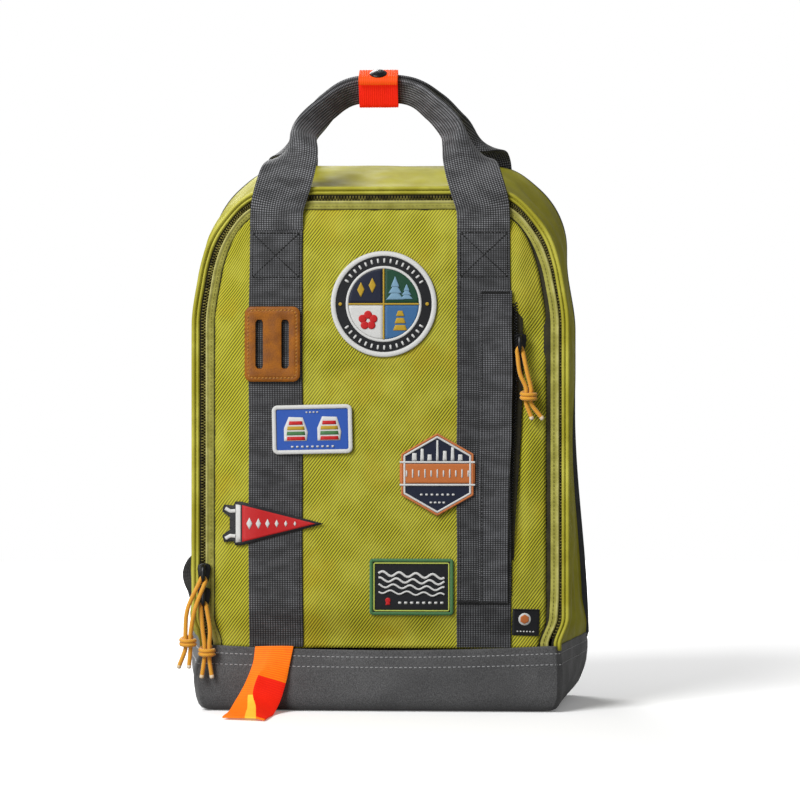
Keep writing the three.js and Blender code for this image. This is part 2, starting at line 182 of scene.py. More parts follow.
RIM_LEG = FRONT_TOP - CORNER_RADIUS - PANEL_FOOT
RIM_LENGTH = 2 * (RIM_LEG + CORNER_RADIUS * math.pi / 2 + BODY_HALF - CORNER_RADIUS)

# What lies flat on the panel and keeps it free of wrinkles: x, z, half width, half height
CALM = [(3, 285, 38, 38), (22.4, 87.5, 29, 20), (102, 62.7, 10, 10),
        (-WEB_CENTRE, 195, 20, 160), (WEB_CENTRE, 195, 20, 160)]


def puff(x, z):
    """How far the stuffed front panel stands out from flat."""
    sides = smooth(0, 34, PANEL_HALF - abs(x))
    ends = smooth(0, 26, z - PANEL_FOOT) * smooth(0, 42, PANEL_TOP - z)
    return (6 - 1.6 * bell(abs(x), WEB_CENTRE, 26)) * sides * ends


def wrinkle(x, z):
    """The panel's soft unevenness, and its gathers along the sewn edge."""
    free = 1.0
    for cx, cz, half_width, half_height in CALM:
        free *= smooth(0, 9, max(abs(x - cx) - half_width, abs(z - cz) - half_height))
    edge = min(PANEL_HALF - abs(x), PANEL_TOP - z)
    gathers = 0.5 * math.exp(-max(edge, 0) / 7) * ripple(x, 0, z, 9, 3)
    loose = 0.85 * ripple(x * 0.6, 0, z, 34, 5)
    loose += 0.7 * ripple(x - z * 0.5, 0, z * 0.4, 22, 9) * bell(z, 320, 60)
    loose += 1.3 * bell(x, 106, 8) * ripple(x * 0.3, 0, z, 38, 13)
    return free * loose * smooth(0, 14, edge) + gathers


def on_panel(x, z, lift=0.0):
    """The point at a height above the front panel's own surface."""
    return Vector((x, FRONT_Y - puff(x, z) - lift, z))


# ---------- making pieces ----------

def sloped(point):
    """A point with the stuffed bag's shoulders drawn in: they slope more than the frame's."""
    x, y, z = point
    drawn = SHOULDER_DRAW * smooth(270, 322, z) * smooth(84, 118, abs(x))
    return (x - math.copysign(drawn, x)) * MM, y * MM, z * MM


def make_piece(name, points, faces, materials, uvs, marks=None, facing=None):
    """A smooth mesh from points in millimetres. facing is where the first face should look."""
    mesh = bpy.data.meshes.new(name)
    mesh.from_pydata([sloped(p) for p in points], [], faces)
    if facing is not None and mesh.polygons[0].normal.dot(Vector(facing)) < 0:
        mesh.flip_normals()
    layer = mesh.uv_layers.new(name="weave")
    corners = np.zeros(len(mesh.loops), np.int32)
    mesh.loops.foreach_get("vertex_index", corners)
    layer.data.foreach_set("uv", (np.array(uvs, np.float32) * MM)[corners].ravel())
    for material in materials if isinstance(materials, (list, tuple)) else [materials]:
        mesh.materials.append(material)
    if marks is not None:
        mesh.polygons.foreach_set("material_index", np.array(marks, np.int32))
    mesh.polygons.foreach_set("use_smooth", np.ones(len(mesh.polygons), bool))
    mesh.update()
    piece = bpy.data.objects.new(name, mesh)
    bpy.context.scene.collection.objects.link(piece)
    return piece


def place(piece, body, slot, *nodes):
    """The piece rides on a body and stands for the CAD nodes named, which it hides. slot is not used."""
    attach(piece, body)
    if nodes:
        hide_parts(*nodes)
    return piece


def grid_faces(rows, columns, closed=False):
    last = columns if closed else columns - 1
    return [(r * columns + c, r * columns + (c + 1) % columns,
             (r + 1) * columns + (c + 1) % columns, (r + 1) * columns + c)
            for r in range(rows - 1) for c in range(last)]


def grid_uvs(rows, closed=False):
    """Distances in millimetres along a grid's rows and columns."""
    table = np.array([[tuple(p) for p in row] for row in rows], float)
    across = np.linalg.norm(np.diff(table, axis=1), axis=2)
    across = np.concatenate([np.zeros((len(rows), 1)), np.cumsum(across, axis=1)], axis=1)
    middle = table[:, table.shape[1] // 2]
    along = np.concatenate([[0], np.cumsum(np.linalg.norm(np.diff(middle, axis=0), axis=1))])
    shift = 0 if closed else across[:, -1:] / 2
    along = np.repeat(along[:, None], table.shape[1], axis=1)
    return np.stack([across - shift, along], axis=2).reshape(-1, 2)


def grid_piece(name, rows, materials, closed=False, facing=None, caps=False):
    """A piece from rows of points. A closed one joins each row's ends, and caps fill its end rows."""
    columns = len(rows[0])
    points = [p for row in rows for p in row]
    faces = grid_faces(len(rows), columns, closed)
    if caps:
        faces.append(tuple(reversed(range(columns))))
        faces.append(tuple(range(len(points) - columns, len(points))))
    return make_piece(name, points, faces, materials, grid_uvs(rows, closed), facing=facing)


def rod_piece(name, line, radius, sides, material):
    """A round rod along a line, closed at both ends."""
    return grid_piece(name, rod_rows(line, radius, sides), material, closed=True, caps=True)


def refine(piece):
    """One level of subdivision."""
    fine = piece.modifiers.new("fine", "SUBSURF")
    fine.levels = fine.render_levels = 1


def thicken(piece, thickness, offset=-1.0, lined=False, edge=0.0):
    """Gives a sheet its thickness, with its second material inside if it is lined, and round edges."""
    solid = piece.modifiers.new("thickness", "SOLIDIFY")
    solid.thickness = thickness * MM
    solid.offset = offset
    solid.use_even_offset = True
    solid.material_offset = 1 if lined else 0
    if edge:
        rounding = piece.modifiers.new("edge", "BEVEL")
        rounding.width = edge * MM
        rounding.segments = 2
        rounding.limit_method = "ANGLE"
        rounding.angle_limit = math.radians(50)
    return piece


def round_section(radius, sides):
    return [(radius * math.cos(2 * math.pi * i / sides), radius * math.sin(2 * math.pi * i / sides))
            for i in range(sides)]


def rod_rows(line, radius, sides):
    """Rows round a rod along a line of points. radius is a number or a function of the share along it."""
    rows = []
    side = Vector((0, 0, 1))
    for i, centre in enumerate(line):
        along = heading(line, i)
        side = side - along * side.dot(along)
        side = side.normalized() if side.length > 1e-4 else along.orthogonal().normalized()
        up = along.cross(side)
        size = radius(i / (len(line) - 1)) if callable(radius) else radius
        rows.append([centre + side * a + up * b for a, b in round_section(size, sides)])
    return rows


class Parts:
    """Gathers many small solids into one mesh, each with its own material."""

    def __init__(self):
        self.points, self.faces, self.marks, self.uvs = [], [], [], []

    def add(self, points, faces, mark, uvs):
        start = len(self.points)
        self.points += points
        self.faces += [tuple(start + i for i in face) for face in faces]
        self.marks += [mark] * len(faces)
        self.uvs += list(uvs)

    def tube(self, rows, mark=0):
        """A closed tube through rows of points, closed at both ends."""
        columns = len(rows[0])
        points = [p for row in rows for p in row]
        ends = [tuple(reversed(range(columns))), tuple(range(len(points) - columns, len(points)))]
        self.add(points, grid_faces(len(rows), columns, True) + ends, mark, grid_uvs(rows, True))

    def stitch(self, start, end, normal, radius, mark=0):
        """One sewn stitch from start to end, lying on a surface."""
        along, mid = end - start, (start + end) / 2
        side = along.cross(normal).normalized() * radius
        up = normal.normalized() * radius
        rows = []
        for share, size in ((-0.5, 0.35), (-0.38, 0.95), (0.38, 0.95), (0.5, 0.35)):
            centre = mid + along * share - up * (0.35 if abs(share) < 0.4 else 0.9)
            rows.append([centre + side * (a * size) + up * (b * size) for a, b in round_section(1, 5)])
        self.tube(rows, mark)

    def stitch_line(self, line, normal, pitch, share, radius):
        """A row of stitches along a line. normal is a direction, or a function of the place."""
        count = max(1, round(line_length(line) / pitch))
        points = even_points(line, count)
        for a, b in zip(points, points[1:]):
            up = normal(a) if callable(normal) else normal
            self.stitch(a, a + (b - a) * share, up, radius)

    def piece(self, name, materials):
        return make_piece(name, self.points, self.faces, materials, self.uvs, self.marks)


# ---------- materials ----------

# The studio lights the floor past white, so that it shows no edge. Every colour is darkened to suit.
STUDIO = 0.62


def rgb(red, green, blue):
    """A screen colour of 0 to 255 as the shader's own values."""
    shares = [value / 255 for value in (red, green, blue)]
    linear = [c / 12.92 if c <= 0.04045 else ((c + 0.055) / 1.055) ** 2.4 for c in shares]
    return (*[c * STUDIO for c in linear], 1.0)


def grey(level):
    return (level, level, level, 1)


class Look:
    """A Principled material, with short ways to add nodes."""

    def __init__(self, name, roughness=0.8, **sockets):
        self.material = bpy.data.materials.new(name)
        self.material.use_nodes = True
        self.tree = self.material.node_tree
        self.shader = self.tree.nodes["Principled BSDF"]
        self.shader.inputs["Roughness"].default_value = roughness
        self.shader.inputs["Specular IOR Level"].default_value = 0.3
        for socket, value in sockets.items():
            self.shader.inputs[socket.replace("_", " ")].default_value = value

    def node(self, kind, inputs=(), output=0, **settings):
        node = self.tree.nodes.new(kind)
        for key, value in settings.items():
            setattr(node, key, value)
        for socket, value in dict(inputs).items():
            self.feed(node.inputs[socket], value)
        return node.outputs[output]

    def feed(self, socket, value):
        if isinstance(value, bpy.types.NodeSocket):
            self.tree.links.new(value, socket)
        else:
            socket.default_value = value

    def math(self, operation, *values):
        return self.node("ShaderNodeMath", enumerate(values), operation=operation)

    def wave(self, value, pitch, shift=0.0):
        """Rises and falls between 0 and 1 once every pitch millimetres of value."""
        turn = self.math("MULTIPLY_ADD", value, 2 * math.pi / (pitch * MM), shift)
        return self.math("MULTIPLY_ADD", self.math("SINE", turn), 0.5, 0.5)

    def arches(self, value, pitch):
        """A row of round humps between 0 and 1, one every pitch millimetres of value."""
        turn = self.math("MULTIPLY", value, math.pi / (pitch * MM))
        return self.math("ABSOLUTE", self.math("SINE", turn))

    def between(self, value, low, high, to_low=0.0, to_high=1.0):
        inputs = {"Value": value, "From Min": low, "From Max": high, "To Min": to_low, "To Max": to_high}
        return self.node("ShaderNodeMapRange", inputs, interpolation_type="SMOOTHSTEP")

    def split(self, vector):
        """A vector's three parts."""
        node = self.tree.nodes.new("ShaderNodeSeparateXYZ")
        self.tree.links.new(vector, node.inputs[0])
        return node.outputs

    def cloth_axes(self):
        """The distances across and along a piece's own cloth, in metres."""
        return self.split(self.node("ShaderNodeUVMap", uv_map="weave"))[:2]

    def place(self):
        return self.node("ShaderNodeTexCoord", output=3)

    def speckle(self, size, detail=2.0, vector=None, stretch=None):
        """Noise with bumps of about size millimetres."""
        vector = self.place() if vector is None else vector
        if stretch is not None:
            vector = self.node("ShaderNodeMapping", {"Vector": vector, "Scale": stretch})
        return self.node("ShaderNodeTexNoise", {"Vector": vector, "Scale": 1 / (size * MM), "Detail": detail})

    def cells(self, size):
        inputs = {"Vector": self.place(), "Scale": 1 / (size * MM)}
        return self.node("ShaderNodeTexVoronoi", inputs, feature="SMOOTH_F1")

    def mix(self, share, a, b):
        return self.node("ShaderNodeMix", {0: share, 6: a, 7: b}, 2, data_type="RGBA")

    def blotch(self, colour, other, size, low, high, most=1.0, detail=2.0):
        """Mixes in another colour where noise of a size rises from low to high."""
        return self.mix(self.between(self.speckle(size, detail), low, high, 0, most), colour, other)

    def uneven(self, value, low, high, least, most):
        """Lets the roughness rise from least to most as a value goes from low to high."""
        self.feed(self.shader.inputs["Roughness"], self.between(value, low, high, least, most))

    def colour(self, value):
        self.feed(self.shader.inputs["Base Color"], value)
        return self

    def bump(self, height, depth, strength):
        """Raises the surface by height times depth millimetres."""
        inputs = {"Height": height, "Distance": depth * MM, "Strength": strength}
        self.feed(self.shader.inputs["Normal"], self.node("ShaderNodeBump", inputs))
        return self


def twill_look():
    """The front panel's lime twill, with steep diagonal ribs."""
    look = Look("lime_twill", 0.7, Sheen_Weight=0.06, Sheen_Roughness=0.5)
    u, v = look.cloth_axes()
    lean = math.radians(53)
    across = look.math("MULTIPLY_ADD", v, -math.cos(lean), look.math("MULTIPLY", u, math.sin(lean)))
    along = look.math("MULTIPLY_ADD", v, math.sin(lean), look.math("MULTIPLY", u, math.cos(lean)))
    wander = look.math("MULTIPLY", look.speckle(9, 1), 0.5 * MM)
    rib = look.wave(look.math("ADD", across, wander), 1.75)
    thread = look.wave(along, 0.9)
    height = look.math("MULTIPLY_ADD", thread, 0.18, look.math("POWER", rib, 0.7))
    colour = look.mix(look.between(rib, 0.05, 0.8), rgb(106, 99, 0), rgb(218, 213, 34))
    colour = look.blotch(colour, rgb(206, 172, 0), 38, 0.5, 0.72, 0.35, 3)
    colour = look.blotch(colour, rgb(228, 224, 84), 24, 0.35, 0.7, 0.35, 2)
    return look.colour(colour).bump(height, 0.35, 0.8).material


def shell_look(name, base, light, deep):
    """Smooth, tightly woven shell cloth."""
    look = Look(name, 0.7)
    u, v = look.cloth_axes()
    weave = look.math("MULTIPLY", look.wave(u, 0.62), look.wave(v, 0.62))
    colour = look.blotch(base, light, 30, 0.35, 0.68, 1, 3)
    colour = look.blotch(colour, deep, 13, 0.52, 0.8, 0.3, 4)
    colour = look.mix(look.math("MULTIPLY", weave, 0.22), colour, light)
    look.uneven(look.speckle(18), 0.3, 0.7, 0.54, 0.72)
    return look.colour(colour).bump(look.math("ADD", weave, look.speckle(2.5)), 0.05, 0.5).material


def webbing_look(name, dark, light, pitch=(1.75, 1.35), gloss=0.62):
    """Woven webbing: an even grid of short threads."""
    look = Look(name, gloss, Sheen_Weight=0.1)
    u, v = look.cloth_axes()
    cross = look.wave(u, pitch[0])
    over = look.arches(v, pitch[1])
    thread = look.math("MULTIPLY", look.math("POWER", over, 1.8), look.between(cross, 0.1, 0.8, 0.12, 1))
    patchy = look.between(look.speckle(14, 3, stretch=(1, 1, 2.2)), 0.3, 0.72, 0.5, 1.15)
    colour = look.mix(look.math("MULTIPLY", thread, patchy), dark, light)
    colour = look.blotch(colour, dark, 1.2, 0.62, 0.8, 0.4)
    return look.colour(colour).bump(thread, 0.28, 0.8).material


def heather_look():
    """Grey heathered coated cloth."""
    look = Look("grey_heather", 0.58, Sheen_Weight=0.15)
    flecks = look.speckle(0.5, 3, stretch=(1, 1, 0.6))
    threads = look.speckle(0.8, 2, stretch=(0.5, 0.5, 1.3))
    colour = look.mix(look.between(flecks, 0.36, 0.66), rgb(78, 78, 79), rgb(114, 114, 115))
    colour = look.mix(look.between(threads, 0.5, 0.75, 0, 0.35), colour, rgb(62, 62, 64))
    colour = look.blotch(colour, rgb(54, 54, 55), 60, 0.4, 0.7, 0.35, 2)
    look.uneven(look.speckle(20), 0.3, 0.7, 0.5, 0.68)
    return look.colour(colour).bump(look.math("ADD", flecks, threads), 0.1, 0.6).material


def tape_look(name, base, light):
    """Ribbed zip tape or binding."""
    look = Look(name, 0.8, Sheen_Weight=0.2)
    u, v = look.cloth_axes()
    rib = look.math("MULTIPLY_ADD", look.wave(v, 1.1), 0.6, look.math("MULTIPLY", look.wave(u, 0.8), 0.4))
    colour = look.blotch(base, light, 9, 0.3, 0.7, 1, 3)
    colour = look.mix(look.math("MULTIPLY", rib, 0.25), colour, light)
    return look.colour(colour).bump(rib, 0.12, 0.7).material


def thread_look(name, shade, pitch=0.45, contrast=0.45):
    """Satin embroidery thread lying side by side."""
    look = Look(name, 0.48, Sheen_Weight=0.3, Sheen_Roughness=0.4)
    u, v = look.cloth_axes()
    lay = look.math("MULTIPLY_ADD", look.speckle(2.2), 0.25 * MM, look.math("MULTIPLY_ADD", u, 0.35, v))
    strand = look.wave(lay, pitch)
    dark = tuple(c * contrast for c in shade[:3]) + (1,)
    colour = look.mix(look.between(strand, 0, 0.7), dark, shade)
    colour = look.blotch(colour, dark, 5, 0.55, 0.8, 0.3, 2)
    return look.colour(colour).bump(strand, 0.12, 0.6).material


def neon_look(name, bright, deep):
    """Ribbed neon ribbon, which also glows through emission: painted light."""
    look = Look(name, 0.7)
    u, v = look.cloth_axes()
    rib = look.wave(v, 1.5)
    fine = look.wave(u, 0.5)
    colour = look.mix(look.between(rib, 0.0, 0.6, 0.35, 1), deep, bright)
    colour = look.blotch(colour, deep, 8, 0.5, 0.8, 0.35, 3)
    height = look.math("MULTIPLY_ADD", fine, 0.25, rib)
    # Painted light: the ribbon's colour is also sent out as emission, so it glows brighter than the lamps
    # light it.
    look.feed(look.shader.inputs["Emission Color"], colour)
    look.shader.inputs["Emission Strength"].default_value = 0.7
    return look.colour(look.mix(0.45, colour, deep)).bump(height, 0.22, 0.7).material


def leather_look():
    """Tan leather: pebbled grain, darker creases and rubbed high spots."""
    look = Look("tan_leather", 0.6)
    grain = look.cells(0.7)
    cloud = look.speckle(7, 5)
    colour = look.mix(look.between(cloud, 0.3, 0.7), rgb(150, 84, 0), rgb(184, 108, 0))
    colour = look.mix(look.between(grain, 0.25, 0.7, 0, 0.3), colour, rgb(112, 58, 0))
    colour = look.blotch(colour, rgb(200, 128, 10), 2.6, 0.6, 0.8, 0.25, 3)
    look.uneven(cloud, 0.3, 0.7, 0.5, 0.7)
    return look.colour(colour).bump(look.math("MULTIPLY_ADD", cloud, 0.5, grain), 0.22, 0.6).material


def metal_look():
    """Black enamelled metal with light scratches."""
    look = Look("black_enamel", 0.36, Metallic=0.2, Coat_Weight=0.15, Coat_Roughness=0.3)
    scratch = look.speckle(0.8, 3, stretch=(0.2, 1, 3))
    colour = look.mix(look.between(scratch, 0.6, 0.8, 0, 0.6), rgb(20, 20, 22), rgb(74, 74, 78))
    look.uneven(scratch, 0.4, 0.75, 0.3, 0.5)
    return look.colour(colour).bump(look.speckle(1.5, 3), 0.03, 0.4).material


def plastic_look(name, base, light):
    """Moulded plastic with a fine eroded texture."""
    look = Look(name, 0.5)
    colour = look.blotch(base, light, 6, 0.35, 0.7, 1, 4)
    look.uneven(look.speckle(3), 0.3, 0.7, 0.42, 0.6)
    return look.colour(colour).bump(look.speckle(0.6, 3), 0.05, 0.5).material


def air_mesh_look():
    """Spacer mesh: small round holes in a honeycomb of dark yarn."""
    look = Look("air_mesh", 0.85, Sheen_Weight=0.25)
    u, v = look.cloth_axes()
    row = look.math("FLOOR", look.math("DIVIDE", v, 2.2 * MM))
    shifted = look.wave(u, 2.5, look.math("MULTIPLY", row, math.pi))
    holes = look.math("MULTIPLY", shifted, look.arches(v, 2.2))
    colour = look.mix(look.between(holes, 0.3, 0.62), rgb(72, 73, 76), rgb(18, 18, 20))
    colour = look.blotch(colour, rgb(92, 93, 96), 20, 0.4, 0.75, 0.4, 3)
    yarn = look.math("SUBTRACT", look.speckle(0.7), look.math("MULTIPLY", holes, 2.2))
    return look.colour(colour).bump(yarn, 0.4, 0.8).material


def lining_look(name, base, light, pitch=1.0):
    """Plain-woven lining."""
    look = Look(name, 0.75, Sheen_Weight=0.1)
    u, v = look.cloth_axes()
    weave = look.math("MULTIPLY", look.wave(u, pitch), look.wave(v, pitch))
    colour = look.blotch(base, light, 22, 0.35, 0.7, 0.35, 4)
    colour = look.mix(look.math("MULTIPLY", weave, 0.35), colour, light)
    return look.colour(colour).bump(weave, 0.1, 0.6).material


def braid_look(name, base, deep):
    """Braided cord: two sets of strands that cross."""
    look = Look(name, 0.55, Sheen_Weight=0.3)
    x, _, z = look.split(look.place())
    left = look.wave(look.math("ADD", x, z), 1.3)
    right = look.wave(look.math("SUBTRACT", x, z), 1.3)
    strand = look.math("MAXIMUM", left, right)
    colour = look.mix(look.between(strand, 0.4, 0.95), deep, base)
    return look.colour(colour).bump(strand, 0.2, 0.7).material


def floor_look():
    """A pale floor that brightens towards its edge, and throws back less light than it shows."""
    look = Look("pale_floor", 0.9)
    colour = look.blotch(grey(0.94), grey(0.97), 400, 0.3, 0.7, 1, 2)
    look.shader.inputs["Emission Color"].default_value = grey(1)
    reach = look.node("ShaderNodeVectorMath", {0: look.place()}, 1, operation="LENGTH")
    look.feed(look.shader.inputs["Emission Strength"], look.between(reach, 0.5, 1.6, 0.12, 0.8))
    bounce = look.node("ShaderNodeBsdfDiffuse", {"Color": grey(0.34)})
    seen = look.node("ShaderNodeLightPath")
    both = look.node("ShaderNodeMixShader", {0: seen, 1: bounce, 2: look.shader.outputs[0]})
    look.feed(look.tree.nodes["Material Output"].inputs[0], both)
    return look.colour(colour).material


TWILL = twill_look()
SHELL = shell_look("lime_shell", rgb(182, 175, 14), rgb(200, 194, 36), rgb(150, 140, 0))
PIPING = shell_look("lime_piping", rgb(184, 176, 40), rgb(220, 214, 84), rgb(128, 118, 4))
WEBBING = webbing_look("charcoal_webbing", rgb(2, 2, 3), rgb(132, 133, 137))
# A lighter copy of the charcoal webbing for the handles on top, where more light falls: painted light.
HANDLE_WEBBING_PAINTED_LIGHT = webbing_look("handle_webbing", rgb(6, 6, 7), rgb(164, 165, 169))
FLAP_WEBBING = webbing_look("grey_webbing", rgb(3, 3, 4), rgb(144, 145, 150))
DARK_WEBBING = webbing_look("black_webbing", rgb(14, 13, 12), rgb(58, 54, 50), (1.5, 1.2))
HEATHER = heather_look()
TAPE = tape_look("khaki_tape", rgb(158, 153, 56), rgb(196, 191, 90))
# A lighter copy of the khaki tape for the raised fold that catches the light: painted highlight.
TAPE_PAINTED_HIGHLIGHT = tape_look("khaki_tape_painted_highlight", rgb(176, 170, 78), rgb(212, 206, 124))
# A near-black copy of the khaki zip tape, laid where the zip lies in shade: painted shade.
PAINTED_SHADE_TAPE = tape_look("shadow_tape", rgb(26, 23, 2), rgb(52, 46, 8))
BINDING = tape_look("black_binding", rgb(24, 24, 26), rgb(48, 48, 52))
TEETH = plastic_look("coil_teeth", rgb(72, 64, 14), rgb(158, 148, 70))
LEATHER = leather_look()
METAL = metal_look()
PLASTIC = plastic_look("black_acetal", rgb(18, 18, 20), rgb(40, 40, 43))
BOARD = plastic_look("board_plastic", rgb(34, 34, 35), rgb(56, 56, 58))
AIR_MESH = air_mesh_look()
LINING = lining_look("grey_lining", rgb(74, 76, 80), rgb(112, 114, 118))
STRAP_CLOTH = lining_look("strap_cloth", rgb(34, 35, 37), rgb(62, 63, 66), 0.8)
NEON = neon_look("neon_ribbon", rgb(255, 140, 0), rgb(255, 84, 0))
# A red copy of the neon ribbon for faces turned away from the light: painted shade.
NEON_PAINTED_SHADE = neon_look("neon_ribbon_shade", rgb(255, 40, 0), rgb(236, 10, 0))
NEON_FLAP = neon_look("neon_flap", rgb(250, 92, 0), rgb(236, 54, 0))
# A yellow copy of the neon ribbon for the lit side of its fold: painted highlight.
NEON_PAINTED_HIGHLIGHT = neon_look("neon_ribbon_lit", rgb(255, 214, 70), rgb(255, 160, 20))
BRAID = braid_look("orange_braid", rgb(255, 198, 48), rgb(250, 134, 8))
TIP = plastic_look("melted_tip", rgb(238, 214, 176), rgb(252, 240, 220))
SEAM_LIGHT = thread_look("grey_thread", rgb(206, 206, 208))
SEAM_DARK = thread_look("black_thread", rgb(6, 6, 8))
SEAM_LIME = thread_look("lime_thread", rgb(150, 140, 40))
SEAM_BROWN = thread_look("brown_thread", rgb(238, 164, 60))
WHITE_THREAD = thread_look("white_thread", rgb(255, 255, 252), 0.5, 0.72)
BLACK_THREAD = thread_look("black_field", rgb(22, 24, 30), 0.55, 0.5)
NAVY_THREAD = thread_look("navy_field", rgb(24, 34, 62), 0.55, 0.55)
BLUE_THREAD = thread_look("blue_field", rgb(48, 104, 212), 0.55, 0.66)
SKY_THREAD = thread_look("sky_thread", rgb(70, 128, 186), 0.5, 0.6)
PALE_THREAD = thread_look("pale_blue_thread", rgb(150, 196, 226), 0.5, 0.6)
GREEN_THREAD = thread_look("pine_field", rgb(20, 84, 56), 0.55, 0.55)
RIM_GREEN_THREAD = thread_look("green_rim", rgb(84, 146, 86), 0.5, 0.6)
LEMON_THREAD = thread_look("lemon_thread", rgb(226, 240, 104), 0.5, 0.65)
YELLOW_THREAD = thread_look("yellow_thread", rgb(228, 186, 44), 0.5, 0.6)
RED_THREAD = thread_look("red_thread", rgb(236, 26, 30), 0.55, 0.6)
ORANGE_THREAD = thread_look("orange_thread", rgb(238, 136, 68), 0.5, 0.65)


# ---------- camera, light and floor ----------

def make_camera():
    """The photograph's view: level, a little from the right, from about two metres."""
    camera = bpy.data.cameras.new("camera")
    camera.lens, camera.sensor_width = 128.6, 36
    holder = bpy.data.objects.new("camera", camera)
    bpy.context.scene.collection.objects.link(holder)
    aim, spot = Vector((0.014, -0.062, 0.218)), Vector((0.11, -2.062, 0.215))
    holder.location = spot
    holder.rotation_euler = (aim - spot).to_track_quat("-Z", "Y").to_euler()
    bpy.context.scene.camera = holder


def make_light(name, spot, aim, size, power):
    lamp = bpy.data.lights.new(name, "AREA")
    lamp.shape, lamp.size, lamp.energy = "DISK", size, power
    holder = bpy.data.objects.new(name, lamp)
    bpy.context.scene.collection.objects.link(holder)
    holder.location = spot
    holder.rotation_euler = (Vector(aim) - Vector(spot)).to_track_quat("-Z", "Y").to_euler()


def make_floor():
    edge = [(a * MM, b * MM, -0.0005) for a, b in round_section(FLOOR_RADIUS, 96)]
    floor = bpy.data.meshes.new("floor")
    floor.from_pydata(edge, [], [tuple(range(96))])
    floor.materials.append(floor_look())
    holder = bpy.data.objects.new("floor", floor)
    bpy.context.scene.collection.objects.link(holder)


def make_surround():
    """A surround that gives an even, weak light and looks white to the camera."""
    world = bpy.data.worlds.new("studio")
    bpy.context.scene.world = world
    world.use_nodes = True
    nodes, links = world.node_tree.nodes, world.node_tree.links
    choice, path = nodes.new("ShaderNodeMixShader"), nodes.new("ShaderNodeLightPath")
    links.new(path.outputs["Is Camera Ray"], choice.inputs[0])
    lit, seen = nodes["Background"], nodes.new("ShaderNodeBackground")
    for socket, surround, strength in ((1, lit, 0.3), (2, seen, 1.0)):
        surround.inputs[0].default_value = grey(1)
        surround.inputs[1].default_value = strength
        links.new(surround.outputs[0], choice.inputs[socket])
    links.new(choice.outputs[0], nodes["World Output"].inputs[0])


def make_stage():
    """A pale floor under an even white surround, with a large soft key from the upper left."""
    make_floor()
    make_surround()
    make_light("key", (-1.4, -1.9, 1.9), (0, 0, 0.2), 1.5, 92)
    make_light("low_fill", (-0.9, -1.5, 0.3), (0, 0, 0.15), 0.6, 5)
    make_light("back", (-0.8, 1.9, 1.9), (0, 0, 0.2), 1.4, 44)
    bpy.context.scene.view_settings.view_transform = "Standard"


make_camera()
make_stage()


# ---------- the cord pulls ----------

# Each pull hangs from its slider's crown: a slack stretch, a knot, then two loose tails.
PULLS = {
    "upper_pull": {"crown": (-124, -69, 91), "slack": (-131.5, -73, 72), "knot": (-134, -72.5, 49),
                   "tail": (-137, -71.5, 31)},
    "lower_pull": {"crown": (-123.4, -69, 73), "slack": (-121.5, -69.5, 58), "knot": (-121, -70, 42),
                   "tail": (-121, -70, 24)},
    "pocket_pull": {"crown": (98, -69, 252), "slack": (100.5, -70, 237), "knot": (104, -70, 221),
                    "tail": (110, -70, 205)},
}


def strand_route(stops, side):
    """One strand's points: half the cord's spread to the side of the pull's own line."""
    waist = stops["knot"]
    places = [stops["crown"], stops["slack"], (waist[0], waist[1], waist[2] + 5),
              (waist[0], waist[1], waist[2] - 5), stops["tail"]]
    spread = [2, 2.6, 1.75, 1.75, 3.6]
    return smooth_line([(x + side * s, y, z) for (x, y, z), s in zip(places, spread)], 20)


def cord_curve(name, route):
    curve = bpy.data.curves.new(name, "CURVE")
    curve.dimensions = "3D"
    curve.bevel_depth = CORD_DIAMETER / 2 * MM
    curve.bevel_resolution = 3
    curve.use_fill_caps = True
    spline = curve.splines.new("BEZIER")
    spline.bezier_points.add(len(route) - 1)
    for point, spot in zip(spline.bezier_points, route):
        point.co = spot * MM
        point.handle_left_type = point.handle_right_type = "AUTO"
    curve.materials.append(BRAID)
    piece = bpy.data.objects.new(name, curve)
    bpy.context.scene.collection.objects.link(piece)
    return piece


def knot_rows(waist):
    """A short cord wound twice round both strands, its ends tucked under."""
    turns, line = 2.3, []
    for i in range(57):
        t = i / 56
        angle = t * turns * 2 * math.pi
        reach = 3.8 - 2.1 * (1 - smooth(0, 0.12, t)) - 2.1 * smooth(0.88, 1, t)
        rise = (0.5 - t) * 6.2 + 0.7 * math.sin(angle + 0.6)
        line.append(Vector(waist) + Vector((reach * 1.25 * math.cos(angle), reach * math.sin(angle), rise)))
    return rod_rows(line, CORD_DIAMETER / 2, 8)


def loop_rows(crown):
    """The bight of the cord that passes through the slider's crown."""
    centre, line = Vector(crown), []
    for i in range(13):
        angle = math.pi * i / 12
        up = math.sin(angle)
        line.append(centre + Vector((-2 * math.cos(angle), 1.2 * up, 3.4 * up - 0.6)))
    return rod_rows(line, CORD_DIAMETER / 2 * 0.96, 8)


def tube_piece(name, rows, material):
    parts = Parts()
    parts.tube(rows)
    return parts.piece(name, material)


def tip_rows(route):
    """The melted end of a strand, rounded off."""
    end, way = route[-1], heading(route, len(route) - 1)
    line = [end + way * reach for reach in (-1.6, -0.2, 0.5, 0.9)]
    return rod_rows(line, lambda t: CORD_DIAMETER / 2 * (1.08 - 0.55 * smooth(0.6, 1, t)), 10)


def make_pull(name, stops):
    knot = tube_piece(f"{name}_knot_wound", knot_rows(stops["knot"]), BRAID)
    place(knot, name, "pull_cord", f"{name}_knot")
    loop = place(tube_piece(f"{name}_loop", loop_rows(stops["crown"]), BRAID), name, "pull_cord")
    for letter, side in (("a", -1), ("b", 1)):
        route = strand_route(stops, side)
        strand = cord_curve(f"{name}_strand_{letter}", route)
        place(strand, name, "pull_cord", f"{name}_cord_{letter}")
        tip = place(tube_piece(f"{name}_tip_{letter}", tip_rows(route), TIP), name, "pull_cord")
        round(line_length(route)) * MM


for pull_name, pull_stops in PULLS.items():
    make_pull(pull_name, pull_stops)


# ---------- the zip ring round the front panel ----------

def slack(share):
    """How much the zip's right side is pulled outwards, which opens a groove beside the panel."""
    return smooth(0.6, 0.72, share) * smooth(1.02, 0.95, share)


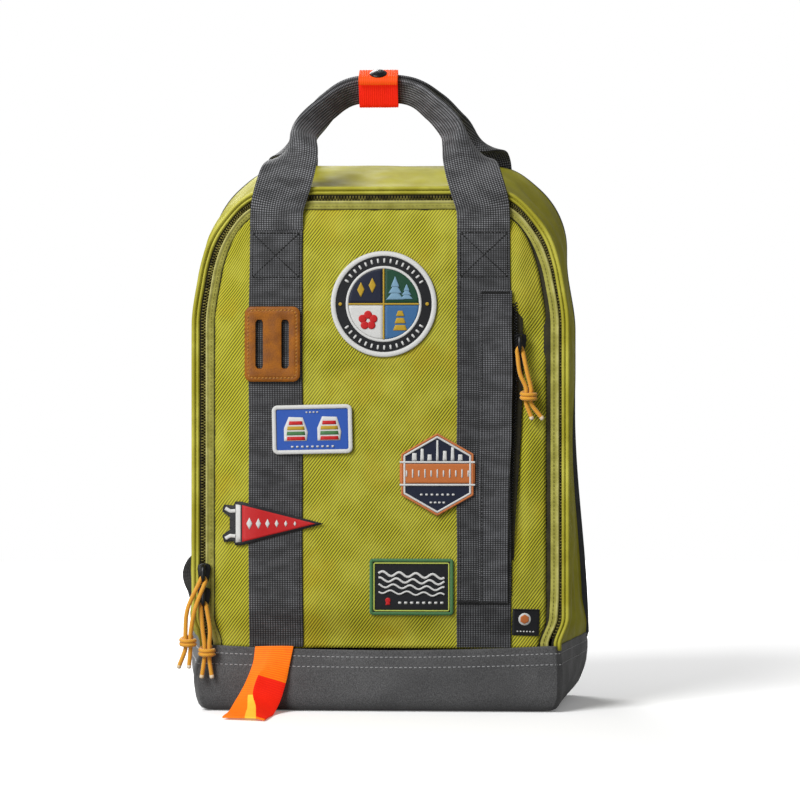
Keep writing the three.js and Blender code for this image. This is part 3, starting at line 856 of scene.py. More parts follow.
def rim_rows(profile, steps, wobble=None, pull=0.0):
    """Rows round the arch, each through the profile's points of inset and depth."""
    rows = []
    for i in range(steps + 1):
        share = i / steps
        row = []
        for k, (inset, y) in enumerate(profile):
            shift = wobble(share * RIM_LENGTH, k) if wobble else 0
            x, z, _ = rim(share, inset - (pull * slack(share) if inset < 15 else 0), FRONT_Y)
            row.append(Vector((x, y + shift, z)))
        rows.append(row)
    down = Vector((0, 0.8, -5.5))
    return [[p + down for p in rows[0]], *rows, [p + down for p in rows[-1]]]


def arch_piece(name, rows, materials):
    """A closed strip round the arch."""
    return grid_piece(name, rows, materials, closed=True, facing=(1, 0, 0), caps=True)


def make_piping():
    """The gusset's front edge, turned in two rolled folds with a sewn line between them."""
    folds = [(4.0, -59.0), (3.9, -61.4), (3.3, -62.5), (2.5, -62.8), (1.8, -62.3), (1.4, -60.9), (0.9, -62.4),
             (0.0, -63.4), (-1.1, -63.1), (-1.8, -61.8), (-1.6, -58.2), (1.0, -57.6)]

    def wobble(along, k):
        return 0.22 * ripple(along, k * 0.8, 0, 26, 11)

    piping = arch_piece("piping_folds", rim_rows(folds, 320, wobble), PIPING)
    place(piping, "bag_body", "shell_fabric", "gusset_piping")
    seam = Parts()
    seam.stitch_line([row[5] + FORWARD * 0.5 for row in rim_rows(folds, 320)], FORWARD, 2.8, 0.7, 0.24)
    place(seam.piece("piping_seam", SEAM_LIME), "bag_body", "shell_fabric")


def coil_teeth(name, inset, lean, shift, body, node):
    """One row of coil teeth: small rounded loops at an even pitch round the arch."""
    teeth = Parts()
    for i in range(int(RIM_LENGTH / COIL_PITCH)):
        share = (i + shift) * COIL_PITCH / RIM_LENGTH
        x, z, out = rim(share, inset - 1.6 * slack(share), FRONT_Y)
        along = Vector((-out.z, 0, out.x))
        rows = []
        for reach, size in ((-1.25, 0.45), (-0.8, 0.72), (0.6, 0.72), (1.2, 0.5)):
            centre = Vector((x, FRONT_Y + 1.1, z)) + out * (lean * reach)
            rows.append([centre + along * a * 0.72 * size + Vector((0, b * 1.1 * size, 0))
                         for a, b in round_section(1, 6)])
        teeth.tube(rows)
    place(teeth.piece(name, TEETH), body, "zip_teeth", node)


def make_zip_ring():
    behind = [(2.2, -61.3), (3.4, -61.0), (5.6, -60.8), (5.6, -60.3), (3.4, -60.4), (2.2, -60.6)]
    # The gusset's tape in the recess behind the coil is painted near black: painted shade.
    gusset_tape = arch_piece("gusset_tape_strip", rim_rows(behind, 300), PAINTED_SHADE_TAPE)
    place(gusset_tape, "bag_body", "zip_tape", "gusset_zip_tape")
    coil_teeth("gusset_coil", 6.0, 1, 0.0, "bag_body", "gusset_zip_teeth")
    coil_teeth("panel_coil", 8.0, -1, 0.5, "front_panel", "panel_zip_teeth")

    def wobble(along, k):
        return 0.3 * ripple(along, k * 2, 0, 30, 21) * (1 if k in (2, 3, 4) else 0.3)

    strip = [(8.2, -61.3), (8.3, -62.5), (8.9, -63.0), (9.6, -62.8), (10.1, -62.1), (12.0, -62.4),
             (14.2, -62.2), (14.6, -60.9), (16.4, -60.6), (16.4, -60.0), (11.0, -60.4), (8.4, -60.2)]
    rows = rim_rows(strip, 320, wobble, 2.6)
    tape = arch_piece("panel_tape_strip", rows, [TAPE, TAPE_PAINTED_HIGHLIGHT, PAINTED_SHADE_TAPE])
    # The strip's raised fold takes the lighter tape copy, a painted highlight, and the groove on its inner
    # side takes the near-black tape, painted shade.
    for i, face in enumerate(tape.data.polygons):
        part = i % len(strip)
        face.material_index = 1 if part < 4 else 2 if part in (6, 7, 8) else 0
    place(tape, "front_panel", "zip_tape", "panel_zip_tape")
    seam = Parts()
    seam.stitch_line([row[5] + FORWARD * 0.2 for row in rows], FORWARD, 2.8, 0.72, 0.22)
    place(seam.piece("panel_tape_seam", SEAM_LIME), "front_panel", "zip_tape")


# ---------- gusset, back and base ----------

def tuck(z):
    """How far the low back seam is drawn in above the base."""
    return 3.4 * smooth(48, 75, z) * smooth(240, 150, z)


def gusset_point(share, depth):
    """The gusset's outside: it swells between its seams, with folds that run along it."""
    y = blend(FRONT_Y + 2.6, BACK_Y - 2.8, depth)
    x, z, out = rim(share, 0, y, BOOT_HEIGHT - 3)
    side = smooth(0.35, 0.95, abs(out.x))
    middle = math.sin(math.pi * depth) ** 0.8
    low = smooth(230, 60, z) if z < 230 else 0
    corner = 4 * abs(out.x * out.z)
    middle *= smooth(42, 64, z)
    swell = middle * (1.2 * abs(out.z) + (1.8 if x < 0 else -0.8) * side - 3.4 * corner)
    swell -= tuck(z) * side * depth + 1.2 * smooth(56, 46, z)
    waves = 2.2 * ripple(y, x * 0.05, z * 0.16, 12, 31) + 2.4 * low * math.sin(depth * 17 + z / 42)
    folds = side * middle * waves
    folds -= 3.4 * side * middle * bell(depth, 0.26 + 0.07 * math.sin(z / 60), 0.035)
    folds -= 3.0 * side * middle * bell(depth, 0.68 - 0.06 * math.sin(z / 45), 0.045) * low
    dents = middle * 1.6 * ripple(x, y, z, 46, 37) + 0.6 * middle * ripple(x, y, z, 17, 41)
    pinch = -2.6 * middle * side * bell(z, 205, 26)
    return Vector((x, y, z)) + out * (swell + folds + dents + pinch)


def make_gusset():
    gusset = grid_piece("gusset_wrap", lattice(280, 44, gusset_point), [SHELL, LINING], facing=(-1, 0, 0))
    thicken(gusset, 1.6, lined=True)
    place(gusset, "bag_body", "shell_fabric", "gusset_left", "gusset_top", "gusset_right")
    edge = [rim(i / 300, 0.2, BACK_Y, BOOT_HEIGHT) for i in range(301)]
    line = [Vector((x, BACK_Y - 0.6, z)) - out * (1.4 + tuck(z) * abs(out.x)) for x, z, out in edge]
    place(rod_piece("back_binding", line, 1.9, 10, BINDING), "bag_body", "shell_fabric")


def boot_top(x, y):
    """The boot's upper edge, which dips in the middle of the front."""
    if y >= -20:
        return BOOT_HEIGHT
    return BOOT_HEIGHT - 3.2 * (1 - min((abs(x) / 122) ** 2, 1)) * smooth(-20, -55, y)


def turned(degrees):
    angle = math.radians(degrees)
    return Vector((math.cos(angle), math.sin(angle), 0))


def round_corners(flat_x, flat_y, radius, reach):
    """A place at a distance along a rectangle with round corners, and its outward direction."""
    arc = radius * math.pi / 2
    sides = [(2 * flat_x, -90, flat_x, -flat_y), (2 * flat_y, 0, flat_x, flat_y),
             (2 * flat_x, 90, -flat_x, flat_y), (2 * flat_y, 180, -flat_x, -flat_y)]
    for run, turn, cx, cy in sides:
        corner = Vector((cx, cy, 0))
        if reach <= run:
            return corner - turned(turn + 90) * (run - reach) + turned(turn) * radius, turned(turn)
        reach -= run
        if reach <= arc:
            out = turned(turn + math.degrees(reach / radius))
            return corner + out * radius, out
        reach -= arc


def boot_ring(share, inset, steps=132):
    """One level of the base tub. share runs from the floor to the upper edge."""
    radius = max(4.6 - inset / 3, 2.6)
    half, front, back = BODY_HALF - inset, FRONT_Y - 2.2 + inset, BACK_Y - inset
    flat_x, flat_y = half - radius, (back - front) / 2 - radius
    total = 4 * (flat_x + flat_y + radius * math.pi / 2)
    body = math.sin(math.pi * min(share * 1.05, 1))
    ring = []
    for i in range(steps):
        spot, out = round_corners(flat_x, flat_y, radius, (i / steps * total + flat_x) % total)
        x, y = spot.x, spot.y + (front + back) / 2
        z = share * boot_top(x, y)
        sag = 1.5 * body + body * (0.9 * ripple(x, y, z, 30, 51) + 0.35 * ripple(x, y, z, 11, 53))
        crease = -1.6 * body * bell(abs(x), half, 3) * bell(y, front + 2, 4)
        crease += 1.3 * body * bell(abs(x), half - 8, 4) * (1 if y < 0 else 0.4)
        crease -= body ** 0.6 * abs(out.x) * smooth(front, back, y) * (5.0 if x < 0 else 3.4)
        lift = sag * (0 if inset > 4 else 1) - crease
        flare = 3.4 * smooth(1, 0.6, share) * smooth(-70, -135, x) * smooth(back, front, y)
        ring.append(Vector((x * widening(y, z) - flare, y, z)) + out * lift)
    return ring


def boot_facing(p):
    """Roughly outwards from a place on the base."""
    return Vector((p.x * 0.12 if abs(p.y) > 55 else p.x, p.y, 0))


def make_base():
    levels = [(0.0, 15), (0.0, 7), (0.03, 3.2), (0.09, 1.2), (0.16, 0.4)]
    levels += [(0.22 + 0.78 * i / 16, 0) for i in range(17)]
    rings = [boot_ring(share, inset) for share, inset in levels]
    boot = grid_piece("boot_tub", rings, [HEATHER, LINING], closed=True, facing=(0, 0, -1))
    thicken(boot, 2.0, lined=True, edge=0.5)
    place(boot, "bag_body", "coated_fabric", "base_boot")
    sole = Parts()
    sole.tube([[Vector((p.x * size, p.y * size, z)) for p in rings[0]]
               for size, z in ((0.02, 0.2), (0.5, 0.2), (1.01, 0.2), (1.01, 1.9), (0.5, 1.9), (0.02, 1.9))])
    place(sole.piece("boot_sole", HEATHER), "bag_body", "coated_fabric")
    seams = Parts()
    for share in (0.885, 0.72):
        ring = boot_ring(share, 0, 264)
        ring = [p + (p - Vector((0, p.y * 0.9, p.z))).normalized() * 0.12 for p in ring]
        seams.stitch_line([*ring, ring[0]], boot_facing, 3.4, 0.7, 0.42)
    place(seams.piece("boot_seams", SEAM_LIGHT), "bag_body", "coated_fabric")
    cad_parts["base_board"].data.materials.clear()
    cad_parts["base_board"].data.materials.append(BOARD)


def rounded_outline(width, height, radius, steps=6, x=0.0, z=0.0):
    """Points [x, z] round a rectangle with round corners, anticlockwise."""
    points = []
    for cx, cz, turn in ((1, -1, -90), (1, 1, 0), (-1, 1, 90), (-1, -1, 180)):
        for i in range(steps + 1):
            a = math.radians(turn + 90 * i / steps)
            points.append((x + cx * (width / 2 - radius) + radius * math.cos(a),
                           z + cz * (height / 2 - radius) + radius * math.sin(a)))
    return points


def back_point(t, u):
    """A place on the back panel, from its foot to its top and from side to side."""
    low, top, straight_share = BOOT_HEIGHT - 3, BACK_TOP, 0.72
    if t < straight_share:
        z, half = blend(low, top - CORNER_RADIUS, t / straight_share), BODY_HALF
    else:
        a = (t - straight_share) / (1 - straight_share) * math.pi / 2
        z = top - CORNER_RADIUS + CORNER_RADIUS * math.sin(a)
        half = BODY_HALF - CORNER_RADIUS + CORNER_RADIUS * math.cos(a)
    x = (2 * u - 1) * half
    edge = min(half - abs(x), top - z, z - low + 10)
    swell = 2.6 * smooth(0, 22, edge) + 0.5 * ripple(x, 0, z, 40, 61)
    channel = 1.8 * (bell(x, 0, 3) + bell(z, 62, 3))
    return Vector((x * widening(BACK_Y, z), BACK_Y - 2.2 + max(swell - channel, 0), z))


def make_back_panel():
    """The back panel of padded mesh, with sewn channels round the two pads."""
    rows = lattice(100, 60, back_point)
    panel = grid_piece("back_panel_quilt", rows, [AIR_MESH, LINING], facing=BACKWARD)
    thicken(panel, 2.2, lined=True)
    place(panel, "bag_body", "air_mesh", "back_panel")


def border(count, width):
    """The indices round the edge of a grid of count rows and width columns."""
    return [*range(width), *range(2 * width - 1, count * width, width),
            *range(count * width - 2, (count - 1) * width - 1, -1), *range((count - 2) * width, 0, -width)]


def hold(piece, indices):
    """Names the points that the cloth simulation keeps in place."""
    piece.vertex_groups.new(name="held").add(indices, 1.0, "REPLACE")


def pillow(name, edges, thickness, material, columns):
    """A closed flat slab between pairs of edge points, ready to be filled. Its first side is the held one."""
    count, width = len(edges), columns + 1
    held, loose = [], []
    for i, (a, b, normal) in enumerate(edges):
        for c in range(width):
            u = c / columns
            crown = thickness * smooth(0, 0.35, min(u, 1 - u) * 2) * smooth(0, 1, min(i, count - 1 - i) / 3)
            base = a.lerp(b, u)
            held.append(base)
            loose.append(base + normal * (1.2 + crown))
    faces = [tuple(reversed(f)) for f in grid_faces(count, width)]
    faces += [tuple(i + len(held) for i in f) for f in grid_faces(count, width)]
    ring = border(count, width)
    for a, b in zip(ring, ring[1:] + ring[:1]):
        faces.append((a, b, b + len(held), a + len(held)))
    span = (edges[0][0] - edges[0][1]).length / columns
    rise = (edges[count // 2][0] - edges[count // 2 + 1][0]).length
    uvs = [(c * max(span, 2.5), r * rise) for r in range(count) for c in range(width)] * 2
    piece = make_piece(name, held + loose, faces, material, uvs)
    hold(piece, [*range(len(held)), *[i + len(held) for i in ring]])
    return piece


def fill_with_air(pieces, cap, pressure=4.0):
    """Blows the pieces up by cloth simulation. Held points stay, and no point moves further than cap."""
    scene = bpy.context.scene
    rest = {}
    for piece in pieces:
        rest[piece.name] = np.array([v.co for v in piece.data.vertices])
        air = piece.modifiers.new("air", "CLOTH")
        cloth = air.settings
        cloth.quality = 6
        cloth.use_pressure = True
        cloth.uniform_pressure_force = pressure
        cloth.effector_weights.gravity = 0
        cloth.vertex_group_mass = "held"
        cloth.mass = 0.2
        cloth.tension_stiffness = cloth.compression_stiffness = 12
        cloth.bending_stiffness = 0.6
        air.point_cache.frame_start, air.point_cache.frame_end = 1, AIR_FRAMES
    for step in range(1, AIR_FRAMES + 1):
        scene.frame_set(step)
    shapes = bpy.context.evaluated_depsgraph_get()
    for piece in pieces:
        filled = np.array([v.co for v in piece.evaluated_get(shapes).data.vertices])
        moved = filled - rest[piece.name]
        length = np.linalg.norm(moved, axis=1, keepdims=True)
        moved *= np.minimum(1, cap * MM / np.maximum(length, 1e-9))
        piece.modifiers.clear()
        piece.data.vertices.foreach_set("co", (rest[piece.name] + moved).ravel())
        piece.data.update()
    scene.frame_set(1)


def sew_channels(piece, depth, lines):
    """Presses sewn lines into a filled piece. Each line is a function of a place in millimetres."""
    for vertex in piece.data.vertices:
        spot = vertex.co / MM
        press = max(line(spot) for line in lines) * depth
        vertex.co.y -= press * MM * smooth(BACK_Y + 1.2, BACK_Y + 5, spot.y)


def back_pad_edges(side):
    """Pairs of edge points up a back pad, with its rounded ends."""
    width, height, radius, x, z = 88, 250, 22, side * 56, 198
    edges = []
    for i in range(57):
        rise = (i / 56 - 0.5) * height
        past = max(abs(rise) - (height / 2 - radius), 0)
        half = width / 2 - radius + math.sqrt(max(radius ** 2 - past ** 2, 0))
        ends = [Vector((x + way * half, BACK_Y + 0.5, z + rise)) for way in (-1, 1)]
        edges.append((*ends, BACKWARD))
    return edges


def make_back_pads():
    pads = []
    for name, side in (("left", -1), ("right", 1)):
        pad = pillow(f"back_pad_{name}_quilt", back_pad_edges(side), 3.4, AIR_MESH, 20)
        pads.append((pad, f"back_pad_{name}"))
    fill_with_air([pad for pad, _ in pads], 4.5)
    for pad, node in pads:
        rows = [lambda p, level=level: bell(p.z, level, 3.2) for level in (128, 176, 224, 272)]
        sew_channels(pad, 2.6, rows)
        refine(pad)
        place(pad, "bag_body", "air_mesh", node)
    seams = Parts()
    for side in (-1, 1):
        outline = rounded_outline(85, 247, 20, 8, side * 56, 198)
        line = [Vector((x, BACK_Y + 1.9, z)) for x, z in [*outline, outline[0]]]
        seams.stitch_line(line, BACKWARD, 3.2, 0.7, 0.3)
    place(seams.piece("back_pad_seams", SEAM_DARK), "bag_body", "air_mesh")


def make_inside():
    """The laptop sleeve against the back, with a bound top edge."""
    low, high = node_box("laptop_sleeve")

    def point(t, u):
        across = 2 * u - 1
        z = blend(low.z, high.z, t)
        x = across * (high.x - 1)
        belly = 2.4 * (1 - across * across) * math.sin(math.pi * min(t + 0.12, 1))
        return Vector((x, low.y - belly + 0.4 * ripple(x, 0, z, 30, 71), z))

    rows = lattice(40, 40, point)
    sleeve = grid_piece("sleeve_cloth", rows, [LINING, LINING], facing=FORWARD)
    thicken(sleeve, 1.6)
    place(sleeve, "bag_body", "lining", "laptop_sleeve")
    edge = [p + BACKWARD * 0.8 for p in rows[-1]]
    place(rod_piece("sleeve_binding", edge, 2.2, 8, BINDING), "bag_body", "lining")


make_piping()
make_zip_ring()
make_gusset()
make_base()
make_back_panel()
make_back_pads()
make_inside()


# ---------- webbing and its stitching ----------

def panel_strip(name, x, z0, z1, lift, material):
    """A length of webbing that lies on the front panel."""
    def point(t, u):
        z = blend(z0, z1, t)
        across = x + (u - 0.5) * WEB_WIDTH + 0.3 * ripple(x, u - 0.5, z, 60, 81)
        curl = 0.25 * ripple(across, 0, z, 24, 83) * (2 * abs(u - 0.5)) ** 2
        return on_panel(across, z, lift + max(curl, -0.15))

    return thicken(grid_piece(name, lattice(110, 14, point), material, facing=FORWARD), 1.4, edge=0.45)


def box_runs(x, z0, z1, half):
    """The sides and both diagonals of an upright box round x, as pairs of corners."""
    corners = [(x - half, z0), (x + half, z0), (x + half, z1), (x - half, z1)]
    return [*zip(corners, corners[1:] + corners[:1]), (corners[0], corners[2]), (corners[1], corners[3])]


def bar_tack(parts, x0, x1, z, lift):
    """A dense row of upright stitches."""
    count = round((x1 - x0) / 0.62)
    for i in range(count + 1):
        x = blend(x0, x1, i / count)
        parts.stitch(on_panel(x, z - 1.1, lift), on_panel(x + 0.3, z + 1.1, lift), FORWARD, 0.36)


def flap_point(t, u):
    """A place on the pocket's webbing flap, whose free edge curls up between its tacked ends."""
    z = blend(76, 294.5, t)
    free = math.sin(math.pi * t) ** 0.5
    edge = 93 - 3 * smooth(250, 120, z) + 0.5 * ripple(0, 0, z, 40, 93)
    curl = free * (1.8 * u ** 3 + 0.35 * ripple(0, 0, z, 30, 95) * u)
    return on_panel(blend(WEB_CENTRE - 3.5, edge, u), z, 3.0 + curl)


def make_front_webbing():
    seams = Parts()
    for name, side in (("left", -1), ("right", 1)):
        x = side * WEB_CENTRE
        strip = panel_strip(f"webbing_{name}_strip", x, PANEL_FOOT - 3.5, HANDLE_FOOT, 1.7, WEBBING)
        place(strip, "front_panel", "webbing", f"front_webbing_{name}")
        for a, b in box_runs(x, 304, 335, WEB_WIDTH / 2 - 2.4):
            line = straight(a, b, 12, lambda x, z: on_panel(x, z, 2.0))
            seams.stitch_line(line, FORWARD, 2.3, 0.78, 0.42)
        inner = x - side * (WEB_WIDTH / 2 - 2.2)
        line = straight((inner, PANEL_FOOT), (inner, 302), 60, lambda x, z: on_panel(x, z, 1.8))
        seams.stitch_line(line, FORWARD, 3.0, 0.68, 0.26)
    flap = grid_piece("pocket_webbing_flap", lattice(100, 12, flap_point), FLAP_WEBBING, facing=FORWARD)
    thicken(flap, 1.2, edge=0.4)
    place(flap, "front_panel", "webbing")
    bar_tack(seams, WEB_CENTRE - 2, WEB_CENTRE + 18, 293, 3.2)
    bar_tack(seams, WEB_CENTRE - 18.5, WEB_CENTRE + 15.5, 77, 3.0)
    sewn = WEB_CENTRE - 1.6
    line = straight((sewn, 78), (sewn, 292), 50, lambda x, z: on_panel(x, z, 3.15))
    seams.stitch_line(line, FORWARD, 2.6, 0.78, 0.36)
    place(seams.piece("webbing_seams", SEAM_DARK), "front_panel", "webbing")


def panel_point(z, half, u):
    """A place on the stuffed front panel at a height, where it is half wide, from side to side."""
    x = (2 * u - 1) * (half - 0.2)
    edge = min(half - abs(x), PANEL_TOP - z + 0.01)
    turned_in = 1.44 * math.exp(-edge / 2.2)
    fold = 2.2 * bell(z, 218 + (abs(x) - 104) * 0.5, 5) * smooth(96, 108, x) * smooth(0, 9, edge)
    fold += 4.2 * bell(z, 262, 15) * bell(x, 108, 8) - 1.6 * bell(z, 296, 18) * bell(x, 103, 8)
    fold += 3.0 * bell(x, 97, 4) * smooth(90, 130, z) * smooth(290, 250, z)
    y = FRONT_Y - puff(x, z) - wrinkle(x, z) + turned_in - 0.5 + fold
    return Vector((x * widening(FRONT_Y, z), y, z))


def make_front_panel():
    legs, arcs = 104, 26
    radius = PANEL_HALF - (BODY_HALF - CORNER_RADIUS)
    levels = [(blend(PANEL_FOOT - 4, PANEL_TOP - radius, i / legs), PANEL_HALF) for i in range(legs + 1)]
    for i in range(1, arcs + 1):
        a = i / arcs * math.pi / 2
        levels.append((PANEL_TOP - radius + radius * math.sin(a), PANEL_HALF - radius + radius * math.cos(a)))
    points = [panel_point(z, half, c / 100) for z, half in levels for c in range(101)]
    panel = make_piece("front_panel_cloth", points, grid_faces(len(levels), 101), [TWILL, LINING],
                       [(p.x, p.z) for p in points], facing=FORWARD)
    thicken(panel, 2.0, lined=True)
    place(panel, "front_panel", "shell_fabric", "front_panel")


def make_pocket_bag():
    """The pocket's lining behind the panel."""
    low, high = node_box("front_pocket_bag")

    def point(t, u):
        z = blend(low.z, high.z, t)
        return Vector((blend(low.x, high.x, u), high.y + 0.8 * ripple(u * 180, 0, z, 34, 91), z))

    bag = grid_piece("pocket_bag_cloth", lattice(30, 30, point), [LINING, LINING], facing=BACKWARD)
    thicken(bag, 0.8)
    place(bag, "front_panel", "lining", "front_pocket_bag")


def make_pocket_zip():
    """The pocket's zip beside the right webbing: tape and coil, half hidden by the webbing's loose edge. Its
    tape is painted near black as the shade beside that edge.
    """
    low, high = node_box("pocket_zip")

    def tape_point(t, u):
        z = blend(low.z, high.z, t)
        width = 9.0 * (1 - 0.35 * smooth(200, 90, z))
        return on_panel(91.0 - 3.2 * smooth(250, 120, z) + width * u, z, 0.9 - 0.96 * u)

    tape = grid_piece("pocket_tape", lattice(90, 8, tape_point), PAINTED_SHADE_TAPE, facing=FORWARD)
    place(thicken(tape, 0.9), "front_panel", "zip_tape", "pocket_zip")
    coil = Parts()
    for i in range(int((high.z - low.z - 6) / COIL_PITCH)):
        z = low.z + 3 + i * COIL_PITCH
        centre = 95.2 - 3.2 * smooth(250, 120, z) - 1.0 * smooth(200, 90, z)
        for side, shift in ((-1, 0), (1, COIL_PITCH / 2)):
            start = on_panel(centre + side * 1.7, z + shift, 1.2)
            coil.stitch(start, on_panel(centre - side * 0.3, z + shift, 1.2), FORWARD, 0.62)
    place(coil.piece("pocket_coil", METAL), "front_panel", "zip_teeth")


make_front_panel()
make_pocket_bag()
make_front_webbing()
make_pocket_zip()


# ---------- handles ----------

def handle_section(width, fold, side, columns=21):
    """Across and out places of webbing that folds in half lengthwise and turns until its crease is on top."""
    half = width / 2
    bend = max(math.pi * fold, 1e-3)
    crease = blend(width, 3.6, fold)
    section = []
    for c in range(columns):
        s = c / (columns - 1) * width - half
        bent = min(max(s, -crease / 2), crease / 2)
        angle = bent / crease * bend
        radius = crease / bend
        a, n = radius * math.sin(angle), radius * (1 - math.cos(angle))
        rest = s - bent
        a += rest * math.cos(angle)
        n += rest * math.sin(angle)
        section.append((a, n))
    lift = sum(n for _, n in section) / columns
    ca, sa = math.cos(fold * math.pi / 2), side * math.sin(fold * math.pi / 2)
    return [(a * ca - side * (n - lift) * sa, a * sa + side * (n - lift) * ca) for a, n in section]


def grip_point(x, out):
    return Vector((x, GRIP_CENTRE.y + out * math.cos(GRIP_TILT), GRIP_CENTRE.z + out * math.sin(GRIP_TILT)))


def handle_rows(leg, folded, steps):
    """A handle's places from foot to foot over the grip. folded is where each leg folds in half."""
    stops = [Vector(p) for p in leg]
    line = smooth_line([*stops, *[Vector((-p.x, p.y, p.z)) for p in reversed(stops)]], steps)
    line = [p - Vector((GRIP_LEAN * smooth(390, 412, p.z), 0, 0)) for p in line]
    rows = []
    for i, centre in enumerate(line):
        t = i / steps
        near = 0.5 - abs(t - 0.5)
        along = heading(line, i)
        tilt = GRIP_TILT * smooth(0.12, 0.42, near)
        across = along.cross(Vector((0, math.cos(tilt), math.sin(tilt)))).normalized()
        rows.append((centre, across, across.cross(along).normalized(), smooth(*folded, near), t))
    return rows


def handle_piece(name, places, side, wave):
    """Webbing through a handle's places, which stands out by wave(t) and folds towards one side."""
    rows = []
    for centre, across, out, fold, t in places:
        section = handle_section(WEB_WIDTH, fold, side)
        rows.append([centre + across * a + out * (n + wave(t)) for a, n in section])
    # The handles use the lighter copy of the webbing: painted light on the top of the bag.
    return thicken(grid_piece(name, rows, HANDLE_WEBBING_PAINTED_LIGHT, facing=(0, -side, 0)), 1.4, 0, edge=0.4)


def make_front_handle():
    leg = [(-73, -64.6, 337), (-73, -64.9, 345), (-72, -65, 355), (-67, -65.5, 371), (-62.5, -60, 386),
           (-58, -50, 398), (-51.5, -37, 410.5), (-39, -21, 425.5), grip_point(-18.5, -2.8)]

    def wave(t):
        return 0.8 * ripple(t * 300, 0, 0, 34, 101) * math.sin(math.pi * t)

    handle = handle_piece("front_handle_webbing", handle_rows(leg, (0.1, 0.29), 190), 1, wave)
    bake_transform(handle)
    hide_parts("front_handle")


def make_rear_handle():
    """The rear handle and the webbing ends it is sewn down by on the back, in one length."""
    leg = [(-73, 67.2, 369), (-73, 67.2, 380), (-73, 67, 389), (-71.5, 63, 397), (-68, 54, 403.5),
           (-61, 42.5, 411.5), (-50.5, 29.5, 421.5), (-37.5, 15, 433.5), grip_point(-18, 2.8)]

    def wave(t):
        return 0.7 * ripple(t * 300, 0, 0, 34, 103) * smooth(0.1, 0.2, 0.5 - abs(t - 0.5))

    handle = handle_piece("rear_handle_webbing", handle_rows(leg, (0.05, 0.25), 200), -1, wave)
    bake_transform(handle)
    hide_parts("rear_handle", "rear_webbing_left", "rear_webbing_right")
    seams = Parts()
    for side in (-1, 1):
        for a, b in box_runs(side * WEB_CENTRE, 372, 386, 16):
            line = straight(a, b, 8, lambda x, z: Vector((x, 68.0, z)))
            seams.stitch_line(line, BACKWARD, 2.4, 0.68, 0.34)
    place(seams.piece("rear_handle_seams", SEAM_DARK), "bag_body", "webbing")


# ---------- leather tab and badges ----------

def make_lash_tab():
    """The leather lash tab: a thick rounded square with two slots, on the left webbing."""
    low, high = node_box("lash_tab")
    cx, cz = (low.x + high.x) / 2, (low.z + high.z) / 2
    width, height, corner = high.x - low.x, high.z - low.z, 5.0
    slot_length, slot_x, slot_radius = 34, 9, 2.3
    keep = []

    def point(t, s):
        u, w = (s - 0.5) * width, (t - 0.5) * height
        past_u, past_w = max(abs(u) - width / 2 + corner, 0), max(abs(w) - height / 2 + corner, 0)
        if past_u and past_w:
            pull = 1 - max(past_u, past_w) / math.hypot(past_u, past_w)
            u, w = u - math.copysign(past_u * pull, u), w - math.copysign(past_w * pull, w)
            past_u, past_w = past_u * (1 - pull), past_w * (1 - pull)
        inside = corner - math.hypot(past_u, past_w)
        x, z = cx + u, cz + w
        rise = 0.8 * smooth(0, 2.2, inside) + 0.25 * ripple(x, 0, z, 11, 111)
        groove = 0.4 * bell(inside, 2.6, 0.8)
        dip = 0.6 * bell(abs(u), slot_x, 3.4) * smooth(slot_length / 2 + 4, slot_length / 2 - 2, abs(w))
        past_slot = max(abs(w) - slot_length / 2 + slot_radius, 0)
        keep.append(math.hypot(abs(u) - slot_x, past_slot) > slot_radius)
        return on_panel(x, z, 4.3 + rise - groove - dip)

    points = [p for row in lattice(120, 90, point) for p in row]
    faces = [face for face in grid_faces(121, 91) if all(keep[i] for i in face)]
    used = sorted({i for face in faces for i in face})
    new = {old: i for i, old in enumerate(used)}
    faces = [tuple(new[i] for i in face) for face in faces]
    points = [points[i] for i in used]
    uvs = [(p.x, p.z) for p in points]
    tab = make_piece("lash_tab_leather", points, faces, LEATHER, uvs, facing=FORWARD)
    thicken(tab, 2.4).modifiers["thickness"].use_even_offset = False
    place(tab, "front_panel", "leather", "lash_tab")
    seams = Parts()
    outline = rounded_outline(width - 5.2, height - 5.2, 3.4, 5, cx, cz)
    line = [on_panel(x, z, 4.9) for x, z in [*outline, outline[0]]]
    seams.stitch_line(line, FORWARD, 2.6, 0.66, 0.5)
    place(seams.piece("lash_tab_seams", SEAM_BROWN), "front_panel", "leather")


def spaced(line, step):
    """Places about a step apart along straight runs, without the last."""
    places = []
    for (ax, az), (bx, bz) in zip(line, line[1:]):
        count = max(1, round(math.hypot(bx - ax, bz - az) / step))
        places += [(blend(ax, bx, i / count), blend(az, bz, i / count)) for i in range(count)]
    return places


